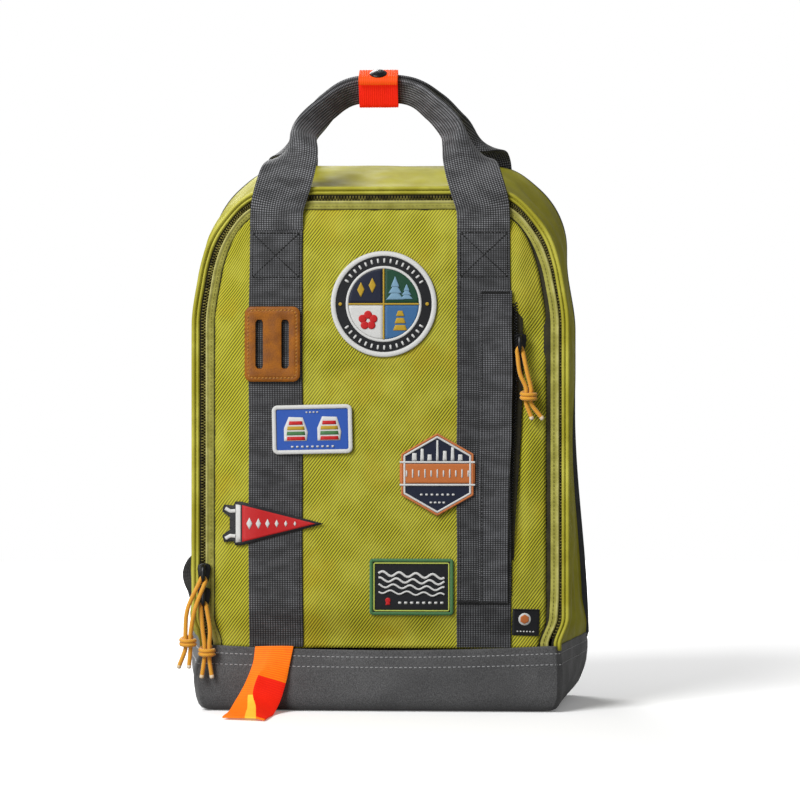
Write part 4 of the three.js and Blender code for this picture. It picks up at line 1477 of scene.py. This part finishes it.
class Badge:
    """An embroidered badge on the panel, drawn in its own flat x and z with a number of thread colours."""

    def __init__(self, name, node, shades, base=1.0, turn=0.0):
        low, high = node_box(node)
        self.name, self.node, self.base, self.turn = name, node, base, turn
        self.x, self.z = (low.x + high.x) / 2, (low.z + high.z) / 2
        self.shades, self.parts = shades, Parts()

    def spot(self, x, z, rise):
        c, s = math.cos(self.turn), math.sin(self.turn)
        return on_panel(self.x + x * c - z * s, self.z + x * s + z * c, self.base + rise)

    def field(self, outline, mark, rise, rings, rim_drop=0.6):
        """A raised patch of stitches filling an outline that a centre point can see all of."""
        cx = sum(x for x, _ in outline) / len(outline)
        cz = sum(z for _, z in outline) / len(outline)
        outline = spaced([*outline, outline[0]], 1.6)
        levels = [(1, rise - rim_drop), (0.985, rise)]
        levels += [(1 - k / rings, rise + 0.12 * k / rings) for k in range(1, rings + 1)]
        places = [(cx + (x - cx) * share, cz + (z - cz) * share, height)
                  for share, height in levels for x, z in outline]
        faces = [tuple(reversed(f)) for f in grid_faces(len(levels), len(outline), True)]
        self.parts.add([self.spot(*p) for p in places], faces, mark, [(x, z) for x, z, _ in places])

    def cord(self, line, width, mark, rise, closed=False):
        """A satin-stitched line, rounded across."""
        dense = spaced([*line, line[0]], 0.45) if closed else [*spaced(line, 0.45), line[-1]]
        count, rows = len(dense), []
        for i, (x, z) in enumerate(dense):
            ax, az = dense[i - 1 if closed else max(i - 1, 0)]
            bx, bz = dense[(i + 1) % count if closed else min(i + 1, count - 1)]
            run = math.hypot(bx - ax, bz - az) or 1
            side_x, side_z = (az - bz) / run * width / 2, (bx - ax) / run * width / 2
            rows.append([self.spot(x + side_x * a, z + side_z * a, rise + b * 0.55)
                         for a, b in round_section(1, 8)])
        if not closed:
            self.parts.tube(rows, mark)
            return
        points = [p for row in rows for p in row]
        faces = [tuple(i % len(points) for i in face) for face in grid_faces(count + 1, 8, True)]
        self.parts.add(points, faces, mark, grid_uvs(rows, True))

    def stroke(self, start, end, radius, mark, rise):
        """One thick stitch between two places."""
        self.parts.stitch(self.spot(*start, rise), self.spot(*end, rise), FORWARD, radius, mark)

    def dashes(self, half, z, count, size, mark, rise):
        """A level row of small dashes, in place of any lettering."""
        for i in range(count):
            x = blend(-half, half, (i + 0.5) / count)
            self.stroke((x - size / 2, z), (x + size / 2, z), size * 0.42, mark, rise)

    def finish(self):
        place(self.parts.piece(self.name, self.shades), "front_panel", "embroidery", self.node)


def circle(radius, count, x=0.0, z=0.0, start=0.0, sweep=2 * math.pi):
    angles = [start + sweep * i / count for i in range(count if sweep == 2 * math.pi else count + 1)]
    return [(x + radius * math.cos(a), z + radius * math.sin(a)) for a in angles]


def around(radius, degrees, x=0.0, z=0.0):
    """The place at a radius and angle round x and z."""
    angle = math.radians(degrees)
    return x + radius * math.cos(angle), z + radius * math.sin(angle)


def block(x, low, high, foot, top):
    """A four-sided outline round x, foot and top being half its width below and above."""
    return [(x - foot, low), (x + foot, low), (x + top, high), (x - top, high)]


def diamond(x, z, half, tall):
    return [(x - half, z), (x, z - tall), (x + half, z), (x, z + tall)]


def make_round_badge():
    threads = [WHITE_THREAD, BLACK_THREAD, NAVY_THREAD, GREEN_THREAD, SKY_THREAD, YELLOW_THREAD, PALE_THREAD]
    badge = Badge("badge_round_stitches", "badge_round", [*threads, RED_THREAD])
    badge.field(circle(36.6, 96), 1, 0.5, 12)
    badge.cord(circle(35.3, 110), 3.6, 0, 0.9, True)
    badge.cord(circle(25.6, 80), 2.0, 0, 0.75, True)
    for start, mark in ((0, 3), (90, 2), (180, 0), (270, 4)):
        arc = circle(24.6, 16, 0, 0, math.radians(start) + 0.02, math.pi / 2 - 0.04)
        badge.field([around(0.35, start + 45), *arc], mark, 0.8, 6)
    badge.cord([(0, -24.6), (0, 24.6)], 1.3, 5, 1.05)
    badge.cord([(-24.6, 0), (24.6, 0)], 1.3, 5, 1.05)
    for x, base, top, wide in ((8.0, 3.0, 19.5, 6.4), (16.0, 3.4, 14.0, 4.6)):
        for tier in range(3):
            low = base + (top - base) * tier * 0.27
            high = low + (top - base) * 0.46
            half = wide * (1 - tier * 0.26)
            badge.field([(x - half, low), (x + half, low), (x, high)], 6, 1.2 + 0.12 * tier, 3, 0.5)
    for x, z in ((-8, 13), (-16, 10)):
        badge.field(diamond(x, z, 2.6, 5.4), 5, 1.2, 3, 0.5)
    for i in range(5):
        badge.field(circle(2.9, 14, *around(4.0, 90 + 72 * i, -11, -11.5)), 7, 1.2, 3, 0.5)
    for tier in range(3):
        z = -18.5 + tier * 5
        badge.field(block(11.5, z, z + 3.8, 5 - tier, 3.5 - tier), 5, 1.2, 3, 0.5)
    for start, way in ((148, -1), (212, 1)):
        for i in range(15):
            x, z = around(30.4, start + way * i * 8.4)
            badge.stroke((x * 0.945, z * 0.945), (x * 1.055, z * 1.055), 0.85, 0, 0.95)
    for degrees in (0, 180):
        badge.field(circle(1.3, 10, *around(30.4, degrees)), 5, 1.1, 2, 0.5)
    badge.finish()


def make_blue_badge():
    threads = [BLUE_THREAD, WHITE_THREAD, RED_THREAD, RIM_GREEN_THREAD, YELLOW_THREAD]
    badge = Badge("badge_blue_stitches", "badge_blue", threads, 2.3, 0.02)
    badge.field(rounded_outline(54, 32, 2.5), 0, 0.5, 9)
    badge.cord(rounded_outline(53.4, 31.4, 2.6, 4), 3.0, 1, 0.95, True)
    for x, lean in ((-11.5, 0.0), (12.0, 0.5)):
        shape = [(x - 8.5, -8), (x + 7.5, -8), (x + 8.5, -2), (x + 5 + lean, 8.5), (x - 5, 9), (x - 8.5, 1)]
        badge.field(shape, 1, 0.85, 5)
        for z, mark in ((-6.2, 2), (-2.6, 3), (1.0, 4), (4.6, 2)):
            half = 6.6 - max(z, 0) * 0.34
            badge.field(block(x, z - 1.3, z + 1.3, half, half - 0.4), mark, 1.1, 2, 0.5)
    badge.dashes(16, -12, 9, 1.9, 1, 0.9)
    badge.dashes(5, 12, 4, 1.5, 1, 0.9)
    badge.finish()


def make_pennant():
    badge = Badge("badge_pennant_stitches", "badge_pennant", [RED_THREAD, BLACK_THREAD, WHITE_THREAD], 2.3)
    upper = [(-22, 15.4), (-26.5, 15.4), (-27.5, 12.6), (-34.5, 13.2), (-35.8, 8.4), (-30.5, 4.6)]
    badge.field([(36, 0), *upper, *[(x, -z) for x, z in reversed(upper)]], 1, 0.45, 8)
    badge.field([(-21.6, 13.0), (-21.6, -13.0), (30.5, 0)], 0, 0.8, 7)
    badge.field([(-26, 13.4), (-26, -13.4), (-22.4, -13.0), (-22.4, 13.0)], 2, 0.9, 3)
    for side in (-1, 1):
        badge.cord([(-33.4, side * 10.6), (-29.8, side * 8.6), (-26, side * 8.9)], 2.6, 2, 0.9)
    for i in range(6):
        size = 4.3 - i * 0.5
        badge.field(diamond(-16.2 + i * 6.4, 0, size * 0.5, size), 2, 1.1, 2, 0.5)
    badge.finish()


def make_hexagon():
    badge = Badge("badge_hexagon_stitches", "badge_hexagon", [NAVY_THREAD, WHITE_THREAD, ORANGE_THREAD], 2.3)
    half, tall, band = 24.5, 28, 26.3
    outline = [(0, -tall), (half, -tall * 0.5), (half, tall * 0.5), (0, tall), (-half, tall * 0.5),
               (-half, -tall * 0.5)]
    badge.field(outline, 0, 0.5, 9)
    badge.cord(outline, 1.6, 2, 0.75, True)
    badge.cord([(x * 0.935, z * 0.935) for x, z in outline], 1.5, 1, 0.9, True)
    badge.field(block(0, -6.2, 7.6, band, band), 2, 1.0, 5)
    for z in (8.6, -7.2):
        badge.cord([(-band, z), (band, z)], 1.5, 1, 1.1)
    for i in range(11):
        x, reach = -21.5 + i * 4.3, 3.2 if i % 2 else 2.4
        badge.stroke((x, 0.7 - reach), (x, 0.7 + reach), 0.62, 1, 1.35)
    for x, top, wide in ((-16, 15, 3.6), (-10.6, 18, 2.6), (-5.4, 14, 3.2), (0, 24, 1.8), (5.2, 16.5, 3.0),
                         (10.6, 19, 2.6), (16, 14, 3.4)):
        badge.field(block(x, 9.6, top, wide / 2, wide / 2 - 0.3), 1, 0.9, 2, 0.5)
    badge.dashes(13, -14, 7, 2.0, 1, 0.9)
    badge.dashes(6, -19.5, 4, 1.9, 1, 0.9)
    badge.finish()


def make_green_badge():
    badge = Badge("badge_green_stitches", "badge_green",
                  [BLACK_THREAD, RIM_GREEN_THREAD, LEMON_THREAD, WHITE_THREAD, RED_THREAD])
    badge.field(rounded_outline(56.5, 37.5, 1.2), 0, 0.5, 9)
    badge.cord(rounded_outline(56.3, 37.3, 1.4, 3), 2.4, 1, 0.95, True)
    badge.cord(rounded_outline(52.2, 33.2, 1.0, 3), 1.0, 2, 0.85, True)
    for row in range(4):
        top = 9.5 - row * 4.2
        line = [(-23 + i * 1.15, top - i * 0.06 + (1.5 - row * 0.12) * math.sin(i * 0.62 + row * 1.1))
                for i in range(41)]
        badge.cord(line, 1.7 - row * 0.15, 3, 0.95 + 0.05 * row)
    badge.field(circle(1.9, 14, -16.5, -9.4), 4, 0.95, 3, 0.5)
    badge.field(block(-16.5, -12.6, -10.2, 1.8, 1.1), 4, 0.95, 2, 0.5)
    for i in range(8):
        x = -8.2 + i * 4.2
        badge.stroke((x - 1.2, -11.0), (x + 1.2, -11.0), 1.0, 3, 0.95)
    badge.finish()


def make_woven_label():
    badge = Badge("woven_label_cloth", "woven_label", [BLACK_THREAD, WHITE_THREAD, ORANGE_THREAD], 0.9, -0.03)
    badge.field(rounded_outline(18.8, 18.8, 0.6), 0, 0.3, 5)
    badge.field(circle(4.4, 20, -0.8, 2.2), 1, 0.5, 3, 0.3)
    badge.field([around(3.4, 90 + 60 * i, -0.8, 2.2) for i in range(6)], 2, 0.7, 3, 0.3)
    badge.dashes(6.6, -6.4, 6, 1.3, 1, 0.55)
    badge.cord([(-9, 9.0), (9, 9.0)], 0.6, 0, 0.5)
    badge.finish()


make_front_handle()
make_rear_handle()
make_lash_tab()
make_round_badge()
make_blue_badge()
make_pennant()
make_hexagon()
make_green_badge()
make_woven_label()


# ---------- sliders, keeper and ribbon ----------

def slider_plate(x, y, z, height, size):
    """Rows of a shield-shaped plate with softened edges."""
    half = [(2.9, -6.2), (3.9, -3.2), (4.7, 2.6), (4.2, 5.4), (2.0, 6.4)]
    shield = [(-2.9, -6.2), *half, *[(-a, b) for a, b in reversed(half[1:])]]
    levels = [(0, 0.84), (0.15, 0.95), (0.5, 1), (height - 0.5, 1), (height - 0.15, 0.95), (height, 0.84)]
    return [[Vector((x + a * size * inset, y + rise, z + b * size * (inset + 1) / 2)) for a, b in shield]
            for rise, inset in levels]


def make_slider(name, x, z, y):
    """A zip slider: two plates, the post between them and the crown that holds the cord."""
    parts = Parts()
    parts.tube(slider_plate(x, y, z, 1.7, 1.0))
    parts.tube(slider_plate(x, y + 4.4, z, 1.5, 0.94))
    parts.tube([[Vector((x + a * 1.3, y + rise, z + 4 + b * 1.6)) for a, b in round_section(1, 8)]
                for rise in (1, 5)])
    crown = [(5.0, 0.6), (4.9, -2.2), (3.6, -4.6), (0.5, -5.8), (-3.2, -5.9), (-5.6, -4.8), (-6.3, -2.4),
             (-5.9, 0.6)]
    line = smooth_line([(x, y + out, z + up) for up, out in crown], 40)
    rows = []
    for i, centre in enumerate(line):
        normal = heading(line, i).cross(Vector((1, 0, 0)))
        half = 1.5 - 0.75 * smooth(0.55, 0.85, i / 40)
        rows.append([centre + Vector((a * half, 0, 0)) + normal * b * 0.75 for a, b in round_section(1, 10)])
    parts.tube(rows)
    place(parts.piece(f"{name}_metal", METAL), name, "zip_metal", name)


def keeper_spot(x, u, v):
    """A place in the keeper's own tilted frame: u through the handles, v up its face."""
    c, s = math.cos(GRIP_TILT), math.sin(GRIP_TILT)
    return GRIP_CENTRE + Vector((x - KEEPER_SHIFT, u * c - v * s, u * s + v * c))


def snap_part(name, profile):
    """A turned metal button on the keeper's top face. profile is radius and height."""
    rows = [[keeper_spot(r * a, r * b - 1.4, v) for a, b in round_section(1, 40)] for r, v in profile]
    return tube_piece(name, rows, METAL)


def ribbon_rib(x):
    """The ribs across the keeper's ribbon."""
    return math.sin(x * 2 * math.pi / 1.9)


def make_keeper():
    """The ribbon wrapped round both handles, its flap and the snap."""
    shape = rounded_outline(13.2, 21.2, 3.4, 5)
    rows = []
    for i in range(57):
        x = blend(-14, 14, i / 56)
        rib = 0.13 * ribbon_rib(x)
        ease = 0.5 * ripple(x, 0, 0, 9, 121)
        wide, tall = 1 + (rib + ease) / 14, 1 + rib / 14
        rows.append([keeper_spot(x, u * wide, v * tall + ease * 0.3) for u, v in shape])
    band = grid_piece("keeper_wrap", rows, [NEON_FLAP, NEON_PAINTED_SHADE], closed=True)
    # Faces that look neither up nor back take the red copy: painted shade on the band's front and underside.
    for face in band.data.polygons:
        face.material_index = 1 if face.normal.z < 0.35 and face.normal.y < 0.5 else 0
    thicken(band, 1.2, 0, edge=0.3)
    place(band, "rear_handle", "ribbon", "keeper_band")
    line = smooth_line([(0, 7.6, 5.5), (0, 7.7, 9.5), (0, 7.0, 12.4), (0, 4.8, 13.3), (0, -2, 13.4),
                        (0, -6.2, 13.1), (0, -8.2, 12.0), (0, -8.7, 10.2), (0, -8.6, 8.6)], 34)
    rows = []
    for i in range(57):
        x = blend(-13.9, 13.9, i / 56)
        rib = 0.12 * ribbon_rib(x)
        rows.append([keeper_spot(x, p.y + 0.25 * ripple(x, p.y, 0, 12, 123), p.z + rib) for p in line])
    flap = grid_piece("keeper_flap_ribbon", rows, NEON_FLAP, facing=(0, 0, 1))
    thicken(flap, 1.2, 0, edge=0.3)
    place(flap, "keeper_flap", "ribbon", "keeper_flap")
    socket = [(0.8, 11.3), (4.9, 11.3), (5.1, 11.7), (4.6, 12.1), (2.4, 12.2), (2.1, 11.8), (0.8, 11.8)]
    place(snap_part("snap_socket_metal", socket), "rear_handle", "zip_metal", "snap_socket")
    cap = [(1, 13.5), (6.0, 13.6), (6.3, 14.0), (6.1, 14.6), (5.3, 15.2), (4.8, 15.1), (4.4, 15.5),
           (3.2, 15.9), (1.4, 16.1), (0.3, 16.1)]
    place(snap_part("snap_cap_metal", cap), "keeper_flap", "zip_metal", "snap_cap")


def make_ribbon():
    """The ribbon tab at the foot of the left webbing, creased lengthwise where it turns onto the floor."""
    steps, half = 72, 9
    left = [(-87.5, -65.6, 45.5), (-89, -69.5, 33), (-94, -73, 20), (-100, -80, 9), (-103, -97, 3.0),
            (-105, -117, 1.5)]
    crease = [(-76, -66.6, 45.5), (-80, -71.5, 33), (-85, -77, 24), (-87.5, -82, 14), (-84, -97, 6.5),
              (-81, -126, 2.4)]
    right = [(-60.5, -65.4, 45.5), (-63, -68, 33), (-65, -69, 22), (-69, -73, 8), (-72, -90, 1.4),
             (-75, -127, 1.2)]
    left, crease, right = [smooth_line(stops, steps) for stops in (left, crease, right)]
    rows, marks = [], []
    for i, (a, c, b) in enumerate(zip(left, crease, right)):
        row = [a.lerp(c, k / half) for k in range(half + 1)]
        row += [c.lerp(b, k / half) for k in range(1, half + 1)]
        for k, p in enumerate(row):
            sag = 0.7 * ripple(*p, 15, 131) + 0.5 * math.sin(math.pi * k / (2 * half))
            row[k] = p + Vector((0, -sag * 0.8, sag * 0.6))
        rows.append(row)
        # Painted shade and highlight of the fold: faces right of the crease take the red copy over most of
        # the length, and a strip left of the crease on the lower part takes the yellow copy.
        for k in range(2 * half):
            shaded = k >= half and 0.27 < i / steps < 0.97
            lit = 5 < k < half and i / steps > 0.45
            marks.append(1 if shaded else 2 if lit else 0)
    ribbon = grid_piece("ribbon_tab_cloth", rows, [NEON, NEON_PAINTED_SHADE, NEON_PAINTED_HIGHLIGHT], facing=FORWARD)
    faces = ribbon.data.polygons
    faces.foreach_set("material_index", np.array(marks[:len(faces)], np.int32))
    thicken(ribbon, 1.1, edge=0.25)
    length = line_length(crease)
    place(ribbon, "ribbon_tab", "ribbon", "ribbon_tab")


# ---------- shoulder straps ----------

STRAP_STOPS = [(40, 73.5, 352), (46, 88, 322), (58, 98, 280), (74, 98, 235), (88, 91, 195), (97, 84, 168)]


def strap_rows(side, steps):
    """Left edge, right edge and outward normal along a shoulder strap, with its rounded lower end."""
    line = smooth_line([(side * x, y, z) for x, y, z in STRAP_STOPS], steps)
    rows = []
    for i, centre in enumerate(line):
        t = i / steps
        along = heading(line, i)
        across = BACKWARD.cross(along).normalized()
        across = -across if across.x < 0 else across
        normal = along.cross(across)
        normal = -normal if normal.y < 0 else normal
        width = 52 + 8 * smooth(0, 0.35, t) - 16 * smooth(0.45, 0.95, t) - 16 * smooth(0.95, 1.0, t) ** 2
        rows.append((centre - across * width / 2, centre + across * width / 2, normal))
    return rows


def padded_band(name, edges, thickness, materials, columns=14):
    """A closed padded band whose outline is held, with cloth outside and mesh inside."""
    count, width = len(edges), columns + 1
    half, points = count * width, []
    for way in (-1, 1):
        for i, (a, b, normal) in enumerate(edges):
            ends = smooth(0, 4, min(i, count - 1 - i))
            for c in range(width):
                u = c / columns
                crown = thickness / 2 * smooth(0, 0.42, min(u, 1 - u) * 2) * ends
                points.append(a.lerp(b, u) + normal * way * (0.8 + crown))
    inner = grid_faces(count, width)
    faces = inner + [tuple(reversed([i + half for i in f])) for f in inner]
    ring = border(count, width)
    for a, b in zip(ring, ring[1:] + ring[:1]):
        faces.append((b, a, a + half, b + half))
    marks = [1] * len(inner) + [0] * (len(faces) - len(inner))
    across = (edges[count // 2][1] - edges[count // 2][0]).length / columns
    rise = (edges[count // 2][0] - edges[count // 2 + 1][0]).length
    uvs = [(c * across, r * rise) for r in range(count) for c in range(width)] * 2
    piece = make_piece(name, points, faces, materials, uvs, marks)
    mesh = piece.data
    if sum((f.center - mesh.polygons[0].center).dot(f.normal) for f in mesh.polygons) < 0:
        mesh.flip_normals()
    hold(piece, ring + [i + half for i in ring])
    return piece


def surface_tree(piece):
    points = [v.co.copy() for v in piece.data.vertices]
    return BVHTree.FromPolygons(points, [tuple(face.vertices) for face in piece.data.polygons])


def laid(tree, spot, normal, lift):
    """The point where a line along normal meets the surface, lifted a little."""
    hit = tree.ray_cast((spot + normal * 30) * MM, -normal)[0]
    return (hit / MM if hit is not None else spot) + normal * lift


def dress_strap(name, edges, piece):
    """The webbing, binding and stitches on a filled strap."""
    body = f"shoulder_strap_{name}"
    tree = surface_tree(piece)

    def laid_across(i, places, lift):
        a, b, normal = edges[i]
        across = (b - a).normalized()
        return [laid(tree, (a + b) / 2 + across * u, normal, lift) for u in places]

    rows = [laid_across(i, np.linspace(-12.5, 12.5, 9), 0.7) for i in range(2, 73)]
    web = thicken(grid_piece(f"strap_{name}_webbing", rows, WEBBING, facing=BACKWARD), 1.3, 1, edge=0.35)
    place(web, body, "webbing")
    ring = [a for a, _, _ in edges] + [b for _, b, _ in reversed(edges)]
    binding = rod_piece(f"strap_{name}_binding", [*ring, ring[0]], 2.3, 10, BINDING)
    place(binding, body, "shell_fabric")
    seams = Parts()
    for u in (-10.4, 10.4):
        seams.stitch_line([laid_across(i, [u], 1.9)[0] for i in range(2, 73)], BACKWARD, 3.0, 0.7, 0.3)
    for i in (8, 66):
        seams.stitch_line(laid_across(i, np.linspace(-11, 11, 9), 1.9), BACKWARD, 1.1, 0.8, 0.42)
    place(seams.piece(f"strap_{name}_seams", SEAM_DARK), body, "webbing")


def make_shoulder_straps():
    straps = []
    for name, side in (("left", -1), ("right", 1)):
        edges = strap_rows(side, 74)
        straps.append((name, edges, padded_band(f"strap_{name}_pad", edges, 6.4, [STRAP_CLOTH, AIR_MESH])))
    fill_with_air([piece for *_, piece in straps], 3.0, 6.0)
    for name, edges, piece in straps:
        dress_strap(name, edges, piece)
        refine(piece)
        body = f"shoulder_strap_{name}"
        place(piece, body, "air_mesh", body)


def lock_spot(side, x, z, rise):
    """A place on a ladder lock's tilted frame."""
    turn = -0.3 * side
    return Vector((side * 101.5 + x * math.cos(turn) + z * math.sin(turn), 81 + rise,
                   149 - x * math.sin(turn) + z * math.cos(turn)))


def make_ladder_lock(name, side):
    """A moulded ladder lock: a frame, two bars and a lifting lip."""
    parts, body = Parts(), f"ladder_lock_{name}"
    outline = rounded_outline(31.6, 23.6, 3.4, 5)
    ring = [lock_spot(side, x, z, 0.6 * bell(z, -11, 5)) for x, z in [*outline, outline[0]]]
    rows = rod_rows(ring, 2.3, 10)
    rows[-1] = rows[0]
    parts.tube(rows)
    for z, rise, size in ((0, 0.8, 1.9), (-11.6, 2.0, 2.0)):
        line = [lock_spot(side, x, z, rise) for x in np.linspace(-15, 15, 13)]
        parts.tube(rod_rows(line, size, 10))
    for x in range(-12, 13, 3):
        parts.tube(rod_rows([lock_spot(side, x, -13.2, 3.0), lock_spot(side, x, -9.6, 3.6)], 0.55, 6))
    place(parts.piece(f"{body}_frame", PLASTIC), body, "buckle_plastic", body)


def web_band(name, side, stops, width, material, steps):
    """Webbing along a smooth line given for the right side, its wide face to the back."""
    line = smooth_line([(side * x, y, z) for x, y, z in stops], steps)
    rows = []
    for i, centre in enumerate(line):
        across = heading(line, i).cross(BACKWARD).normalized()
        rows.append([centre + across * ((c / 8 - 0.5) * width) for c in range(9)])
    return thicken(grid_piece(name, rows, material, facing=BACKWARD), 1.4, 0, edge=0.35)


def make_strap_ends(name, side):
    """The ladder lock's webbing: its loop on the strap, the lower strap to the bag and the loose tail."""
    strap, lock = f"shoulder_strap_{name}", f"ladder_lock_{name}"
    stops = [(94.5, 90, 177), (97, 87.5, 168), (99, 84.5, 160.5), (99.3, 82, 158.5), (98.6, 79, 161),
             (96.5, 80.5, 170)]
    place(web_band(f"lock_loop_{name}", side, stops, 24, WEBBING, 40), strap, "webbing")
    stops = [(137, 68.6, 70), (140, 74, 78), (144, 82, 89), (131, 86, 100), (114, 83, 115), (106, 79.5, 133),
             (103.5, 81, 143.5), (102.5, 85.5, 146.5)]
    if side > 0:
        stops = [(x - 10 * smooth(110, 135, x), y, z) for x, y, z in stops]
    lower = web_band(f"lower_strap_{name}", side, stops, 25, DARK_WEBBING, 80)
    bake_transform(lower)
    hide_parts(f"lower_webbing_{name}")
    stops = [(101.0, 84.5, 154), (101.8, 87.5, 150), (104, 93, 130), (105, 94.5, 105), (105, 93, 82),
             (105, 94, 79), (105, 96.2, 81), (105, 96.4, 92)]
    tail = web_band(f"tail_{name}", side, stops, 25, DARK_WEBBING, 90)
    place(tail, lock, "webbing", f"strap_tail_{name}")
    seams = Parts()
    for z in (84.5, 89.5):
        line = [Vector((side * 105 + u, 97.4, z)) for u in np.linspace(-11, 11, 9)]
        seams.stitch_line(line, BACKWARD, 1.4, 0.75, 0.4)
    place(seams.piece(f"tail_{name}_seams", SEAM_LIGHT), lock, "webbing")


def make_anchor_tab(name, side):
    """The padded triangle in the side seam that holds the lower strap."""
    low, high = node_box(f"anchor_tab_{name}")
    inner, outer = (high.x, low.x) if side < 0 else (low.x, high.x)

    def point(t, u):
        reach = 1 - 0.35 * abs(2 * t - 1) ** 1.5
        x = blend(outer, inner + (outer - inner) * (1 - reach), u)
        rise = 1.4 * math.sin(math.pi * min(u * 1.1, 1)) * math.sin(math.pi * t) ** 0.5
        return Vector((x, low.y + 1.2 + rise, blend(low.z - 1, high.z + 1, t)))

    tab = grid_piece(f"anchor_{name}_cloth", lattice(16, 14, point), STRAP_CLOTH, facing=BACKWARD)
    place(thicken(tab, 1.8, edge=0.4), "bag_body", "webbing", f"anchor_tab_{name}")
    seams = Parts()
    x = blend(inner, outer, 0.3)
    foot, head = (x, low.z + 3), (x, high.z - 3)
    for a, b in ((foot, head), (foot, (outer, high.z - 4)), (head, (outer, low.z + 4))):
        line = straight(a, b, 8, lambda x, z: Vector((x, low.y + 3.0, z)))
        seams.stitch_line(line, BACKWARD, 2.4, 0.7, 0.34)
    place(seams.piece(f"anchor_{name}_seams", SEAM_LIGHT), "bag_body", "webbing")


def yoke_rise(x, z):
    """How far the yoke stands out where it covers a strap."""
    return 15.2 * max(bell(x, 43, 29), bell(x, -43, 29)) ** 0.7 * smooth(367, 349, z)


def make_yoke():
    """The flap that covers the tops of both straps, open along its lower edge."""
    top = 366.5

    def point(t, u):
        x, z = (2 * u - 1) * 75, blend(331, top, t)
        rise = yoke_rise(x, z) + 1.4 * smooth(75, 60, abs(x))
        return Vector((x, BACK_Y + 0.6 + rise + 0.3 * ripple(x, 0, z, 18, 141), z))

    rows = lattice(30, 80, point)
    yoke = grid_piece("strap_yoke_flap", rows, [STRAP_CLOTH, LINING], facing=BACKWARD)
    place(thicken(yoke, 2.0, lined=True), "bag_body", "webbing", "strap_yoke")
    seams = Parts()
    for inset in (3, 6.5):
        z = top - inset
        line = straight((-72, z), (72, z), 80, lambda x, z: Vector((x, BACK_Y + 2.4 + yoke_rise(x, z), z)))
        seams.stitch_line(line, BACKWARD, 3.0, 0.7, 0.34)
    place(seams.piece("strap_yoke_seams", SEAM_LIGHT), "bag_body", "webbing")
    edge = rod_piece("strap_yoke_edge", [p + FORWARD * 0.8 for p in rows[0]], 1.7, 8, BINDING)
    place(edge, "bag_body", "webbing")


make_slider("main_slider_upper", -123.6, 97, -65.2)
make_slider("main_slider_lower", -123.6, 80, -65.2)
make_slider("pocket_slider", 98, 258, -66.4)
make_keeper()
make_ribbon()
make_shoulder_straps()
make_yoke()
for strap_name, strap_side in (("left", -1), ("right", 1)):
    make_ladder_lock(strap_name, strap_side)
    make_strap_ends(strap_name, strap_side)
    make_anchor_tab(strap_name, strap_side)
